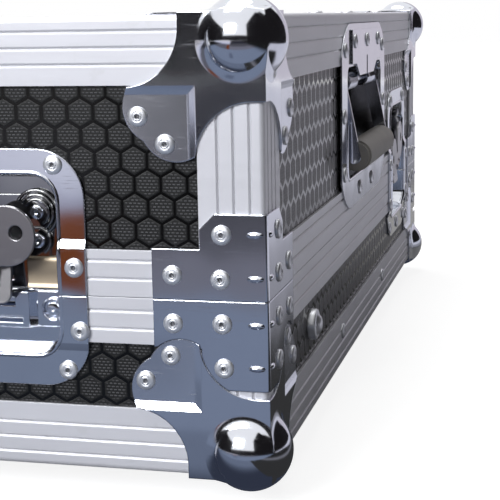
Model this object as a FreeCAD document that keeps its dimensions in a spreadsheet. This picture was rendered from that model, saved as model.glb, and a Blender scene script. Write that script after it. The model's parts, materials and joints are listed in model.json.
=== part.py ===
import FreeCAD, Part
import math
import os

import Sketcher

# Flight case for a DJ controller: a shallow base and a deeper lift-off lid of laminated plywood,
# edged with aluminium double-angle, closed by four recessed butterfly latches.
# Frame: origin on the ground under the case's middle, +Z up, front face towards -Y, millimetres.

SIZES = [
    ("case_width", 860.0),
    ("case_depth", 590.0),
    ("base_tall", 84.0),
    ("lid_tall", 128.0),
    ("seam_gap", 0.3),
    ("cut_clear", 0.3),
    ("cut_overrun", 2.0),
    # Panels and edge extrusions
    ("panel_thick", 9.0),
    ("panel_clear", 0.1),
    ("trim_thick", 1.5),
    ("trim_face", 31.0),
    ("trim_inner_thick", 1.5),
    ("trim_inner_leg", 12.0),
    ("trim_edge_radius", 2.5),
    ("groove_first", 6.7),
    ("groove_pitch", 7.45),
    ("groove_wide", 1.8),
    ("groove_deep", 0.7),
    ("rim_face", 22.0),
    ("rim_bridge", 5.0),
    ("rim_inner_leg", 16.0),
    ("base_rim_groove", 6.4),
    ("lid_rim_groove", 8.4),
    ("rim_groove_pitch", 8.5),
    ("tongue_from_face", 4.2),
    ("tongue_thick", 3.2),
    ("tongue_tall", 3.0),
    ("tongue_clear", 0.5),
    # Ball corners
    ("ball_radius", 20.0),
    ("ball_inset", 11.0),
    ("ball_collar_radius", 19.3),
    ("ball_collar_tall", 2.4),
    ("ball_collar_sink", 0.4),
    ("ball_fillet_radius", 14.0),
    ("plate_thick", 1.3),
    ("plate_reach", 38.4),
    ("plate_straight", 5.0),
    ("plate_notch_radius", 26.6),
    ("plate_shoulder_far", 62.8),
    ("plate_shoulder_near", 31.6),
    ("plate_lobe_radius", 17.0),
    ("plate_lobe_far", 48.6),
    ("plate_lobe_near", 40.5),
    ("joggle_run", 4.0),
    ("tab_room", 0.4),
    # Corner braces
    ("brace_thick", 1.3),
    ("brace_arm", 53.3),
    ("brace_upright", 30.5),
    ("brace_clip", 7.2),
    ("lid_brace_arm_tall", 23.4),
    ("lid_brace_tall", 39.7),
    ("base_brace_arm_tall", 22.4),
    ("base_brace_tall", 41.8),
    ("brace_bend_radius", 2.0),
    # Recessed butterfly latches
    ("latch_half_width", 52.0),
    ("latch_above_seam", 68.6),
    ("latch_below_seam", 44.0),
    ("latch_corner_radius", 23.0),
    ("latch_from_corner", 137.5),
    ("latch_from_back", 118.0),
    ("sheet_thick", 1.2),
    ("dish_half_width", 38.5),
    ("dish_above_seam", 57.2),
    ("dish_below_seam", 29.5),
    ("dish_corner_radius", 13.0),
    ("dish_depth", 12.0),
    ("dish_draft", 2.5),
    ("hub_above_seam", 9.8),
    ("hub_radius", 7.0),
    ("hub_cam_radius", 10.0),
    ("hub_cam_thick", 3.3),
    ("hub_top_depth", 2.6),
    ("hub_stub_radius", 3.0),
    ("fit_clear", 0.05),
    ("hub_lug_from_middle", 4.6),
    ("hub_lug_thick", 1.9),
    ("hub_lug_radius", 2.2),
    ("wing_pin_radius", 1.0),
    ("wing_barrel_radius", 1.8),
    ("wing_thick", 1.8),
    ("wing_ear_radius", 14.5),
    ("wing_ear_from_middle", 17.5),
    ("wing_ear_above_pin", 13.0),
    ("wing_hole_from_middle", 22.9),
    ("wing_hole_radius", 3.5),
    ("wing_lug_clear", 0.7),
    ("wing_waist_above_pin", 9.0),
    ("wing_rest_turn", 18.0),
    ("hook_half_width", 13.0),
    ("hook_slot_half_width", 7.5),
    ("hook_thick", 1.6),
    ("hook_pin_above_seam", 21.0),
    ("hook_pin_depth", 5.0),
    ("hook_pin_radius", 1.2),
    ("hook_barrel_radius", 2.3),
    ("hook_below_seam", 5.7),
    ("hook_lip_reach", 4.6),
    ("hook_corner_radius", 5.0),
    ("hook_rest_tilt", 8.0),
    ("plate_half_width", 30.0),
    ("plate_above_seam", 46.0),
    ("plate_from_seam", 1.0),
    ("plate_corner_radius", 6.0),
    ("hook_lug_thick", 2.0),
    ("hook_lug_clear", 0.4),
    ("hook_lug_radius", 2.6),
    ("keeper_half_width", 35.0),
    ("keeper_hump_half_width", 19.0),
    ("keeper_slope_run", 3.5),
    ("keeper_top_drop", 0.6),
    ("keeper_tall", 17.5),
    ("keeper_hump_rise", 3.8),
    ("keeper_window_half_width", 12.4),
    ("keeper_window_top", 3.3),
    ("keeper_window_tall", 4.2),
    ("keeper_slot_half_width", 16.0),
    ("keeper_slot_drop", 12.4),
    ("keeper_slot_tall", 3.2),
    # Recessed handles
    ("handle_half_width", 93.0),
    ("handle_from_seam", 8.6),
    ("handle_above_seam", 121.6),
    ("handle_corner_run", 30.0),
    ("handle_corner_rise", 19.0),
    ("handle_corner_radius", 40.0),
    ("grip_dish_half_width", 73.0),
    ("grip_dish_from_seam", 27.0),
    ("grip_dish_above_seam", 95.5),
    ("grip_dish_corner_radius", 7.0),
    ("grip_dish_depth", 20.0),
    ("grip_dish_draft", 2.5),
    ("hood_half_width", 60.0),
    ("hood_shoulder_above_seam", 97.0),
    ("hood_above_seam", 118.0),
    ("hood_tongue_half_width", 30.0),
    ("hood_tongue_from_seam", 89.0),
    ("hood_slope_run", 14.0),
    ("hood_slot_half_width", 2.0),
    ("hood_slot_deep", 12.0),
    ("bail_pin_above_seam", 85.5),
    ("bail_pin_depth", 5.5),
    ("bail_pin_radius", 2.5),
    ("bail_arm_from_middle", 62.0),
    ("bail_arm_thick", 2.2),
    ("bail_arm_wide", 8.6),
    ("bail_rod_radius", 3.0),
    ("bail_lug_clear", 0.6),
    ("bail_lug_half", 4.6),
    ("bail_pin_share", 0.6),
    ("grip_above_seam", 40.6),
    ("grip_depth", -3.5),
    ("grip_radius", 9.7),
    ("grip_half_length", 58.0),
    ("grip_collar_radius", 8.4),
    ("grip_collar_long", 3.0),
    # Foam, feet and bolts
    ("foam_from_face", 14.5),
    ("foam_clear", 0.3),
    ("base_foam_tall", 52.0),
    ("base_foam_floor", 16.0),
    ("foam_cavity_width", 700.0),
    ("foam_cavity_depth", 430.0),
    ("foam_cavity_radius", 18.0),
    ("foam_finger_width", 120.0),
    ("foam_finger_depth", 32.0),
    ("lid_foam_thick", 15.0),
    ("foot_tall", 15.0),
    ("foot_radius", 19.0),
    ("foot_taper", 2.5),
    ("foot_inset", 72.0),
    ("foot_bore_radius", 3.1),
    ("foot_recess_radius", 8.0),
    ("foot_recess_deep", 7.0),
    ("screw_head_radius", 6.5),
    ("screw_head_thick", 3.5),
    ("screw_shank_radius", 3.0),
    ("screw_into_panel", 6.0),
    ("bolt_from_front", 110.0),
    ("bolt_above_bottom", 48.0),
    ("bolt_head_radius", 8.0),
    ("bolt_head_thick", 3.2),
]


class Size:
    """A length with its number and the sheet expression that gives it."""

    def __init__(self, value, text):
        self.value = value
        self.text = text

    def joined(self, other, sign, value):
        text = other.text if isinstance(other, Size) else repr(float(other))
        return Size(value, "(" + self.text + " " + sign + " " + text + ")")

    def __add__(self, other):
        return self.joined(other, "+", self.value + number(other))

    def __sub__(self, other):
        return self.joined(other, "-", self.value - number(other))

    def __mul__(self, other):
        return self.joined(other, "*", self.value * number(other))

    def __truediv__(self, other):
        return self.joined(other, "/", self.value / number(other))

    def __neg__(self):
        return Size(-self.value, "(0 - " + self.text + ")")


def number(size):
    return size.value if isinstance(size, Size) else float(size)


def root(size):
    return Size(math.sqrt(size.value), "sqrt(" + size.text + ")")


class Sizes:
    """The named sizes, as attributes."""


doc = FreeCAD.newDocument("flight_case")
sheet = doc.addObject("Spreadsheet::Sheet", "Sizes")
size = Sizes()
for row, (alias, value) in enumerate(SIZES, start=1):
    sheet.set("A%d" % row, alias.replace("_", " "))
    sheet.set("B%d" % row, str(value))
    sheet.setAlias("B%d" % row, alias)
    setattr(size, alias, Size(value, "Sizes." + alias))
doc.recompute()

ZERO = Size(0.0, "0")
nodes = {}


# Helpers: bound properties, sketches and solids

def bind(thing, path, length):
    thing.setExpression(path, length.text)


def place(thing, x=ZERO, y=ZERO, z=ZERO, turn=None):
    """Set an object's turn, and tie its place to the sheet."""
    where = FreeCAD.Vector(number(x), number(y), number(z))
    thing.Placement = FreeCAD.Placement(where, turn if turn else FreeCAD.Rotation())
    for axis, length in (("x", x), ("y", y), ("z", z)):
        if length is not ZERO:
            bind(thing, ".Placement.Base." + axis, length)
    return thing


def add(kind, name):
    return doc.addObject(kind, name)


def keep(name, thing):
    """Register a finished sub-part under its own label."""
    thing.Label = name
    nodes[name] = thing
    return thing


def arc_between(start, end, radius, sense):
    """A minor arc from start to end, turning left for sense +1 and right for -1."""
    chord = end.sub(start)
    half = chord.Length / 2
    rise = math.sqrt(max(radius * radius - half * half, 0.0))
    left = FreeCAD.Vector(-chord.y, chord.x, 0).normalize()
    middle = start.add(chord.multiply(0.5))
    centre = middle.add(left.multiply(rise * sense))
    from_angle = math.atan2(start.y - centre.y, start.x - centre.x)
    to_angle = math.atan2(end.y - centre.y, end.x - centre.x)
    circle = Part.Circle(centre, FreeCAD.Vector(0, 0, 1), radius)
    if sense > 0:
        return Part.ArcOfCircle(circle, from_angle, to_angle)
    return Part.ArcOfCircle(circle, to_angle, from_angle)


def draw(sketch, points):
    """Draw a closed outline. A point is (x, y), or (x, y, radius, sense) where an arc leaves it."""
    count = len(points)
    spots = [FreeCAD.Vector(number(p[0]), number(p[1]), 0) for p in points]
    first = sketch.GeometryCount
    from_end, to_end = [], []
    for index, point in enumerate(points):
        start, end = spots[index], spots[(index + 1) % count]
        if len(point) == 2:
            sketch.addGeometry(Part.LineSegment(start, end), False)
            from_end.append(1)
            to_end.append(2)
        else:
            sense = point[3]
            sketch.addGeometry(arc_between(start, end, number(point[2]), sense), False)
            from_end.append(1 if sense > 0 else 2)
            to_end.append(2 if sense > 0 else 1)
    for index, point in enumerate(points):
        after = (index + 1) % count
        here, there = first + index, first + after
        sketch.addConstraint(Sketcher.Constraint("Coincident", here, to_end[index], there, from_end[after]))
        for kind, length in (("DistanceX", point[0]), ("DistanceY", point[1])):
            rule = Sketcher.Constraint(kind, -1, 1, here, from_end[index], number(length))
            place_in_list = sketch.addConstraint(rule)
            if length is not ZERO:
                bind(sketch, "Constraints[%d]" % place_in_list, length)
        if len(point) > 2:
            rule = Sketcher.Constraint("Radius", here, number(point[2]))
            place_in_list = sketch.addConstraint(rule)
            bind(sketch, "Constraints[%d]" % place_in_list, point[2])
    return sketch


def ring(sketch, x, y, radius):
    """Add a full circle to a sketch."""
    circle = Part.Circle(FreeCAD.Vector(number(x), number(y), 0), FreeCAD.Vector(0, 0, 1), number(radius))
    index = sketch.addGeometry(circle, False)
    for kind, length in (("DistanceX", x), ("DistanceY", y)):
        rule = sketch.addConstraint(Sketcher.Constraint(kind, -1, 1, index, 3, number(length)))
        if length is not ZERO:
            bind(sketch, "Constraints[%d]" % rule, length)
    rule = sketch.addConstraint(Sketcher.Constraint("Radius", index, number(radius)))
    bind(sketch, "Constraints[%d]" % rule, radius)


def rectangle(x_low, x_high, y_low, y_high):
    return [(x_low, y_low), (x_high, y_low), (x_high, y_high), (x_low, y_high)]


def rounded(x_low, x_high, y_low, y_high, radius):
    return [
        (x_low + radius, y_low), (x_high - radius, y_low, radius, 1),
        (x_high, y_low + radius), (x_high, y_high - radius, radius, 1),
        (x_high - radius, y_high), (x_low + radius, y_high, radius, 1),
        (x_low, y_high - radius), (x_low, y_low + radius, radius, 1),
    ]


TURNS = {
    "XY": FreeCAD.Rotation(),
    "XZ": FreeCAD.Rotation(FreeCAD.Vector(1, 0, 0), 90),
    "YZ": FreeCAD.Rotation(FreeCAD.Vector(1, 1, 1), 120),
}
AXES = {
    "XY": FreeCAD.Vector(0, 0, 1),
    "XZ": FreeCAD.Vector(0, 1, 0),
    "YZ": FreeCAD.Vector(1, 0, 0),
}


def flat_sketch(name, plane, points, level=ZERO):
    """A free sketch on a plane parallel to two axes, at a level along the third."""
    sketch = add("Sketcher::SketchObject", name + "_sketch")
    draw(sketch, points)
    where = {"XY": (ZERO, ZERO, level), "XZ": (ZERO, level, ZERO), "YZ": (level, ZERO, ZERO)}[plane]
    return place(sketch, *where, turn=TURNS[plane])


def extruded(name, outline, plane, tall):
    """An outline extruded square to its plane."""
    solid = add("Part::Extrusion", name)
    solid.Base = outline
    solid.DirMode = "Custom"
    solid.Dir = AXES[plane]
    solid.Solid = True
    bind(solid, "LengthFwd", tall)
    return solid


def slab(name, plane, points, low, high):
    """An outline extruded square to its plane, from low to high."""
    return extruded(name, flat_sketch(name, plane, points, low), plane, high - low)


def box(name, x_low, x_high, y_low, y_high, z_low, z_high):
    solid = add("Part::Box", name)
    bind(solid, "Length", x_high - x_low)
    bind(solid, "Width", y_high - y_low)
    bind(solid, "Height", z_high - z_low)
    return place(solid, x_low, y_low, z_low)


ALONG = {
    "X": FreeCAD.Rotation(FreeCAD.Vector(0, 1, 0), 90),
    "Y": FreeCAD.Rotation(FreeCAD.Vector(1, 0, 0), -90),
    "Z": FreeCAD.Rotation(),
}


def rod(name, axis, radius, low, high, first=ZERO, second=ZERO):
    """A cylinder along an axis from low to high; first and second are its other two places."""
    solid = add("Part::Cylinder", name)
    bind(solid, "Radius", radius)
    bind(solid, "Height", high - low)
    where = {"X": (low, first, second), "Y": (first, low, second), "Z": (first, second, low)}[axis]
    return place(solid, *where, turn=ALONG[axis])


def cut(name, base, *tools):
    solid = base
    for tool in tools:
        result = add("Part::Cut", name)
        result.Base = solid
        result.Tool = tool
        solid = result
    return solid


def fuse(name, *parts):
    solid = add("Part::MultiFuse", name)
    solid.Shapes = list(parts)
    return solid


def common(name, *parts):
    solid = add("Part::MultiCommon", name)
    solid.Shapes = list(parts)
    return solid


def group(name, *parts):
    bundle = add("Part::Compound", name)
    bundle.Links = list(parts)
    return bundle


def mirrored(name, source, normal, level=ZERO):
    """A mirror image through a plane square to X, Y or Z."""
    image = add("Part::Mirroring", name)
    image.Source = source
    image.Normal = FreeCAD.Vector(*normal)
    if level is not ZERO:
        image.Base = FreeCAD.Vector(0, 0, number(level))
        bind(image, "Base.z", level)
    return image


def four_corners(name, source):
    """The source at the front left, and its images at the other three corners."""
    right = mirrored(name + "_front_right", source, (1, 0, 0))
    back_left = mirrored(name + "_back_left", source, (0, 1, 0))
    back_right = mirrored(name + "_back_right", right, (0, 1, 0))
    return {"front_left": source, "front_right": right, "back_left": back_left, "back_right": back_right}


def origin_plane(body, role):
    for feature in body.Origin.OriginFeatures:
        if feature.Role == role:
            return feature
    raise ValueError("no plane " + role)


def body_sketch(body, name, plane, points):
    sketch = body.newObject("Sketcher::SketchObject", name)
    sketch.AttachmentSupport = (origin_plane(body, plane + "_Plane"), [""])
    sketch.MapMode = "FlatFace"
    if points:
        draw(sketch, points)
    return sketch


def padded_body(name, plane, points, length, both_ways=False, backwards=False):
    """A body whose first feature is an outline padded by a length."""
    body = add("PartDesign::Body", name)
    sketch = body_sketch(body, name + "_outline", plane, points)
    pad = body.newObject("PartDesign::Pad", name + "_pad")
    pad.Profile = sketch
    pad.Midplane = both_ways
    pad.Reversed = backwards
    bind(pad, "Length", length)
    sketch.Visibility = False
    return body


def pocket(body, name, plane, points):
    """Cut an outline through the whole body, both ways."""
    sketch = body_sketch(body, name + "_outline", plane, points)
    feature = body.newObject("PartDesign::Pocket", name + "_pocket")
    feature.Profile = sketch
    feature.Midplane = True
    feature.Type = "ThroughAll"
    return sketch


# Levels and insets that the sub-parts share

half_width = size.case_width / 2
half_depth = size.case_depth / 2
bottom = size.foot_tall
seam = bottom + size.base_tall
lid_bottom = seam + size.seam_gap
top = lid_bottom + size.lid_tall
panel_inner = size.trim_thick + size.panel_thick
web = panel_inner + size.trim_inner_thick
skin = size.trim_thick + size.panel_clear
board = size.panel_thick - size.panel_clear - size.panel_clear
panel_edge = web + size.panel_clear
dish_room = size.dish_half_width + size.sheet_thick + size.cut_clear
front_latch_x = half_width - size.latch_from_corner
side_latch_y = half_depth - size.latch_from_back


# Panels of laminated plywood

def wall_outline(half_length, low, high, notches, from_top):
    """A wall's outline in its own plane; notches let the latch dishes in at the seam."""
    points = [(-half_length, low)]
    if not from_top:
        for middle, depth in notches:
            points += [(middle - dish_room, low), (middle - dish_room, low + depth)]
            points += [(middle + dish_room, low + depth), (middle + dish_room, low)]
    points += [(half_length, low), (half_length, high)]
    if from_top:
        for middle, depth in reversed(notches):
            points += [(middle + dish_room, high), (middle + dish_room, high - depth)]
            points += [(middle - dish_room, high - depth), (middle - dish_room, high)]
    points += [(-half_length, high)]
    return points


def walls(half, low, high, from_top, dish_reach, handle_hole):
    """The four walls of one half of the case."""
    rim_edge = dish_reach + size.sheet_thick + size.cut_clear - size.rim_bridge
    if not from_top:
        rim_edge = rim_edge - size.seam_gap
    long_half = half_width - panel_edge
    short_half = half_depth - panel_edge
    front_notches = [(-front_latch_x, rim_edge), (front_latch_x, rim_edge)]
    side_notches = [(side_latch_y, rim_edge)]
    layouts = {
        "front": ("XZ", long_half, front_notches),
        "back": ("XZ", long_half, []),
        "left": ("YZ", short_half, side_notches),
        "right": ("YZ", short_half, side_notches),
    }
    for side, (plane, half_length, notches) in layouts.items():
        name = half + "_" + side + "_panel"
        outline = wall_outline(half_length, low, high, notches, from_top)
        body = padded_body(name, plane, outline, board)
        if handle_hole and side in ("left", "right"):
            reach = size.grip_dish_half_width + size.sheet_thick + size.cut_clear
            room = size.sheet_thick + size.cut_clear
            hole = rectangle(-reach, reach, seam + size.grip_dish_from_seam - room,
                             seam + size.grip_dish_above_seam + room)
            pocket(body, name + "_handle", plane, hole)
        if side == "front":
            place(body, y=-half_depth + skin + board)
        if side == "back":
            place(body, y=half_depth - skin)
        if side == "left":
            place(body, x=-half_width + skin)
        if side == "right":
            place(body, x=half_width - skin - board)
        keep(name, body)


def panels():
    x_edge, y_edge = half_width - panel_edge, half_depth - panel_edge
    floor = padded_body("base_floor_panel", "XY", rectangle(-x_edge, x_edge, -y_edge, y_edge), board)
    sketch = body_sketch(floor, "base_floor_screw_holes", "XY", [])
    for x in (-half_width + size.foot_inset, half_width - size.foot_inset):
        for y in (-half_depth + size.foot_inset, half_depth - size.foot_inset):
            ring(sketch, x, y, size.screw_shank_radius + size.fit_clear)
    holes = floor.newObject("PartDesign::Pocket", "base_floor_screw_pocket")
    holes.Profile = sketch
    holes.Reversed = True
    bind(holes, "Length", size.screw_into_panel + size.cut_clear)
    place(floor, z=bottom + skin)
    keep("base_floor_panel", floor)

    lid_top = padded_body("lid_top_panel", "XY", rectangle(-x_edge, x_edge, -y_edge, y_edge), board)
    place(lid_top, z=top - skin - board)
    keep("lid_top_panel", lid_top)

    bridge = size.rim_bridge + size.panel_clear
    walls("base", bottom + panel_edge, seam - bridge, True, size.dish_below_seam, False)
    walls("lid", lid_bottom + bridge, top - panel_edge, False, size.dish_above_seam, True)


# Aluminium extrusions

def grooves(face, first, pitch, count):
    """Places of the grooves along a face, measured from the extrusion's outer edge."""
    return [first + pitch * step for step in range(count)]


def rim_section(upwards, groove_first):
    """Section of the tongued or grooved rim; v runs from the seam into the panel."""
    face, thick, bridge = size.rim_face, size.trim_thick, size.rim_bridge
    spots = grooves(face, groove_first, size.rim_groove_pitch, 2)

    def point(u, v):
        return (u, v if upwards or v is ZERO else -v)

    near, far = size.tongue_from_face, size.tongue_from_face + size.tongue_thick
    if upwards:
        deep = -size.tongue_tall
        joint = [point(near, ZERO), point(near, deep), point(far, deep), point(far, ZERO)]
    else:
        deep = size.tongue_tall + size.tongue_clear
        joint = [point(near - size.tongue_clear, ZERO), point(near - size.tongue_clear, deep),
                 point(far + size.tongue_clear, deep), point(far + size.tongue_clear, ZERO)]
    points = [point(ZERO, ZERO)] + joint
    points += [point(web, ZERO), point(web, size.rim_inner_leg), point(panel_inner, size.rim_inner_leg),
               point(panel_inner, bridge), point(thick, bridge), point(thick, face), point(ZERO, face)]
    for spot in reversed(spots):
        half = size.groove_wide / 2
        points += [point(ZERO, spot + half), point(size.groove_deep, spot), point(ZERO, spot - half)]
    return points


def mitred_bar(name, section, length, reach):
    """A section run along X with both ends cut at 45 degrees; its outer face is at y = 0."""
    body = padded_body(name, "YZ", section, length, both_ways=True)
    half = length / 2
    deep = reach + size.cut_overrun
    over = size.cut_overrun
    right = [(half + over, -over), (half + over, deep), (half - deep, deep)]
    left = [(-half - over, -over), (-half + deep, deep), (-half - over, deep)]
    pocket(body, name + "_right_mitre", "XY", right)
    pocket(body, name + "_left_mitre", "XY", left)
    return body


def tab_rooms(body, name, half_length):
    """Round the base rim's outer leg away where the ball corners' tabs reach up to it."""
    sketch = pocket(body, name + "_tab_room", "XZ", [])
    level = size.plate_lobe_far - size.base_tall
    for middle in (size.plate_lobe_near - half_length, half_length - size.plate_lobe_near):
        ring(sketch, middle, level, size.plate_lobe_radius + size.tab_room)


def notch_bar(body, name, middles):
    """Cut the rim away where the latch dishes pass through it."""
    over = size.cut_overrun
    for index, middle in enumerate(middles):
        outline = rectangle(middle - dish_room, middle + dish_room, -over, web + over)
        pocket(body, name + "_dish_gap_%d" % index, "XY", outline)


def frame_of_bars(name, section, level, reach, notch, tabs):
    """Front, back and side bars, mitred together round the case."""
    quarter = FreeCAD.Rotation(FreeCAD.Vector(0, 0, 1), 90)
    front = mitred_bar(name + "_front_bar", section, size.case_width, reach)
    back = mitred_bar(name + "_back_bar", section, size.case_width, reach)
    side = mitred_bar(name + "_side_bar", section, size.case_depth, reach)
    if notch:
        notch_bar(front, name + "_front", [-front_latch_x, front_latch_x])
        notch_bar(side, name + "_side", [side_latch_y])
    if tabs:
        tab_rooms(front, name + "_front", half_width)
        tab_rooms(back, name + "_back", half_width)
        tab_rooms(side, name + "_side", half_depth)
    place(front, y=-half_depth, z=level)
    place(back, y=half_depth, z=level, turn=FreeCAD.Rotation(FreeCAD.Vector(0, 0, 1), 180))
    place(side, x=half_width, z=level, turn=quarter)
    other_side = mirrored(name + "_other_side", side, (1, 0, 0))
    keep(name, group(name, front, back, side, other_side))


def trims():
    reach = size.trim_face
    frame_of_bars("base_edge_trims", edge_section(False), bottom, reach, False, False)
    frame_of_bars("lid_edge_trims", edge_section(True), top, reach, False, False)
    frame_of_bars("base_rim_trims", rim_section(False, size.base_rim_groove), seam, web, True, True)
    frame_of_bars("lid_rim_trims", rim_section(True, size.lid_rim_groove), lid_bottom, web, True, False)
    uprights = {
        "base_corner_trims": (bottom + size.trim_face, seam - size.rim_face),
        "lid_corner_trims": (lid_bottom + size.rim_face, top - size.trim_face),
    }
    for name, (low, high) in uprights.items():
        upright = padded_body(name + "_bar", "XY", edge_section(False), high - low)
        place(upright, x=-half_width, y=-half_depth, z=low)
        keep(name, group(name, *four_corners(name, upright).values()))


def edge_section(flip):
    """Section of the double-angle edge extrusion, its corner at the origin."""
    face, thick = size.trim_face, size.trim_thick
    leg_end = web + size.trim_inner_leg
    half = size.groove_wide / 2
    spots = grooves(face, size.groove_first, size.groove_pitch, 3)

    def point(u, v):
        return (u, -v if flip and v is not ZERO else v)

    edge = size.trim_edge_radius
    points = [point(edge, ZERO)]
    for spot in spots:
        points += [point(spot - half, ZERO), point(spot, size.groove_deep), point(spot + half, ZERO)]
    points += [point(face, ZERO), point(face, thick), point(web, thick), point(web, panel_inner),
               point(leg_end, panel_inner), point(leg_end, web), point(web, web), point(web, leg_end),
               point(panel_inner, leg_end), point(panel_inner, web), point(thick, web), point(thick, face),
               point(ZERO, face)]
    for spot in reversed(spots):
        points += [point(ZERO, spot + half), point(size.groove_deep, spot), point(ZERO, spot - half)]
    return points + [point(ZERO, edge) + (edge, -1 if flip else 1)]


# Ball corners and braces

def corner_outline(edge):
    """Outline of a ball corner's plate on one face: notched sides and a two-lobed tab."""
    reach, straight = size.plate_reach, size.plate_straight
    far, near = size.plate_shoulder_far, size.plate_shoulder_near
    middle = (size.plate_lobe_far + size.plate_lobe_near) / 2
    apart = size.plate_lobe_far - size.plate_lobe_near
    dip = middle + root(size.plate_lobe_radius * size.plate_lobe_radius / 2 - apart * apart / 4)
    notch, lobe = size.plate_notch_radius, size.plate_lobe_radius
    return [
        (-edge, -edge), (reach, -edge), (reach, straight, notch, -1), (far, near, lobe, 1),
        (dip, dip, lobe, 1), (near, far, notch, -1), (straight, reach), (-edge, reach),
    ]


def corner_wedge(name, plane, level, tall, first, second, far):
    """A square block over a corner's face whose two near sides slope from first to second."""
    wedge = add("Part::Wedge", name)
    limits = {
        "Xmin": first, "Zmin": first, "X2min": second, "Z2min": second,
        "Xmax": far, "Zmax": far, "X2max": far, "Z2max": far, "Ymin": ZERO, "Ymax": tall,
    }
    for prop, length in limits.items():
        bind(wedge, prop, length)
    where = {"XY": (ZERO, ZERO, level), "XZ": (ZERO, level, ZERO), "YZ": (level, ZERO, ZERO)}
    turns = {
        "XY": FreeCAD.Rotation(FreeCAD.Vector(1, 1, 1), 120),
        "XZ": FreeCAD.Rotation(),
        "YZ": FreeCAD.Rotation(FreeCAD.Vector(1, 1, 1), 240),
    }
    return place(wedge, *where[plane], turn=turns[plane])


def corner_plate(name, plane):
    """One plate of a ball corner: flat over the extrusions, stepped down to the panel at its tab."""
    thick = size.plate_thick
    blank = slab(name, plane, corner_outline(thick), -thick, skin)
    far = size.plate_lobe_far + size.plate_lobe_radius + size.cut_overrun
    ledge = size.trim_face + size.cut_clear
    bed = [(-far, -far), (far, -far), (far, ledge), (ledge, ledge), (ledge, far), (-far, far)]
    under = slab(name + "_bed", plane, bed, ZERO, skin + size.cut_overrun)
    low = size.trim_face + size.joggle_run
    level = skin - thick
    rise = thick + level + size.cut_overrun
    slope = size.joggle_run * rise / (thick + level)
    step = corner_wedge(name + "_step", plane, level - rise, rise, low - slope, low, far)
    return cut(name + "_plate", blank, under, step)


def ball_corner():
    """Ball corner at the base's front left: a ball, a filleted collar and three plates."""
    thick, inset, ball = size.plate_thick, size.ball_inset, size.ball_radius
    sphere = add("Part::Sphere", "corner_ball")
    bind(sphere, "Radius", ball)
    place(sphere, inset, inset, inset)
    room = inset + ball + size.cut_overrun
    inside = box("corner_ball_inside", ZERO, room, ZERO, room, ZERO, room)
    shell = cut("corner_ball_shell", sphere, inside)
    tall = size.ball_collar_tall
    depth = inset + thick + tall
    waist = root(ball * ball - depth * depth) - size.ball_collar_sink
    foot = (size.ball_collar_radius, ZERO, size.ball_fillet_radius, -1)
    section = [(ZERO, ZERO), foot, (waist, tall), (ZERO, tall)]
    settings = (
        ("XY", (inset, inset, -thick), FreeCAD.Rotation(FreeCAD.Vector(1, 0, 0), -90)),
        ("XZ", (inset, -thick, inset), FreeCAD.Rotation(FreeCAD.Vector(1, 0, 0), 180)),
        ("YZ", (-thick, inset, inset), FreeCAD.Rotation(FreeCAD.Vector(0, 0, 1), 90)),
    )
    collars = []
    for plane, where, turn in settings:
        name = "corner_collar_" + plane.lower()
        collar = add("Part::Revolution", name)
        collar.Source = flat_sketch(name, "XY", section)
        collar.Axis = FreeCAD.Vector(0, 1, 0)
        collar.Angle = 360
        collar.Solid = True
        place(collar, *where, turn=turn)
        mitre = corner_wedge(name + "_mitre", plane, -thick - tall, tall, -thick - tall, -thick, room)
        collars.append(common(name + "_mitred", collar, mitre))
    plates = [corner_plate("corner_plate_" + plane.lower(), plane) for plane in ("XY", "XZ", "YZ")]
    whole = fuse("ball_corner_master", shell, *collars, *plates)
    return place(whole, -half_width, -half_depth, bottom)


def ball_corners():
    base = four_corners("base_ball", ball_corner())
    for where, corner in base.items():
        keep("base_ball_corner_" + where, corner)
    middle = (bottom + top) / 2
    for where, corner in base.items():
        keep("lid_ball_corner_" + where, mirrored("lid_ball_" + where, corner, (0, 0, 1), middle))


def brace(name, arm_tall, tall, upwards):
    """A pressed brace that wraps the corner beside the seam, clear of the ball corner's tab."""
    thick, clip, upright = size.brace_thick, size.brace_clip, size.brace_upright

    def leg(edge):
        points = [(-edge, ZERO), (size.brace_arm, ZERO), (size.brace_arm, arm_tall), (upright, arm_tall),
                  (upright, tall - clip), (upright - clip, tall), (-edge, tall)]
        if upwards:
            return points
        return [(u, -v if v is not ZERO else v) for u, v in reversed(points)]

    arm, bend = size.brace_arm, size.brace_bend_radius
    strip = [
        (bend - thick, -thick), (arm, -thick), (arm, ZERO), (ZERO, ZERO), (ZERO, arm), (-thick, arm),
        (-thick, bend - thick, bend, 1),
    ]
    ends = (ZERO, tall) if upwards else (-tall, ZERO)
    bent = slab(name + "_strip", "XY", strip, *ends)
    front = slab(name + "_front_outline", "XZ", leg(thick), -thick, arm)
    side = slab(name + "_side_outline", "YZ", leg(thick), -thick, arm)
    return common(name + "_whole", common(name + "_front_cut", bent, front), side)


def braces():
    lid = brace("lid_corner_brace", size.lid_brace_arm_tall, size.lid_brace_tall, True)
    place(lid, -half_width, -half_depth, lid_bottom)
    keep("lid_corner_braces", group("lid_corner_braces", *four_corners("lid_brace", lid).values()))
    base = brace("base_corner_brace", size.base_brace_arm_tall, size.base_brace_tall, False)
    place(base, -half_width, -half_depth, seam)
    reliefs = []
    thick, over = size.plate_thick, size.cut_overrun
    for plane in ("XZ", "YZ"):
        name = "brace_relief_" + plane.lower()
        wider = add("Part::Offset2D", name + "_wider")
        wider.Source = flat_sketch(name, plane, corner_outline(thick), -thick - over)
        bind(wider, "Value", size.cut_clear)
        relief = extruded(name, wider, plane, thick + over + over)
        reliefs.append(place(relief, -half_width, -half_depth, bottom))
    trimmed = cut("base_corner_brace_trimmed", base, *reliefs)
    keep("base_corner_braces", group("base_corner_braces", *four_corners("base_brace", trimmed).values()))


# Frames of the faces that carry latches and handles: x along the face, y into the case, z up from the seam

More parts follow.
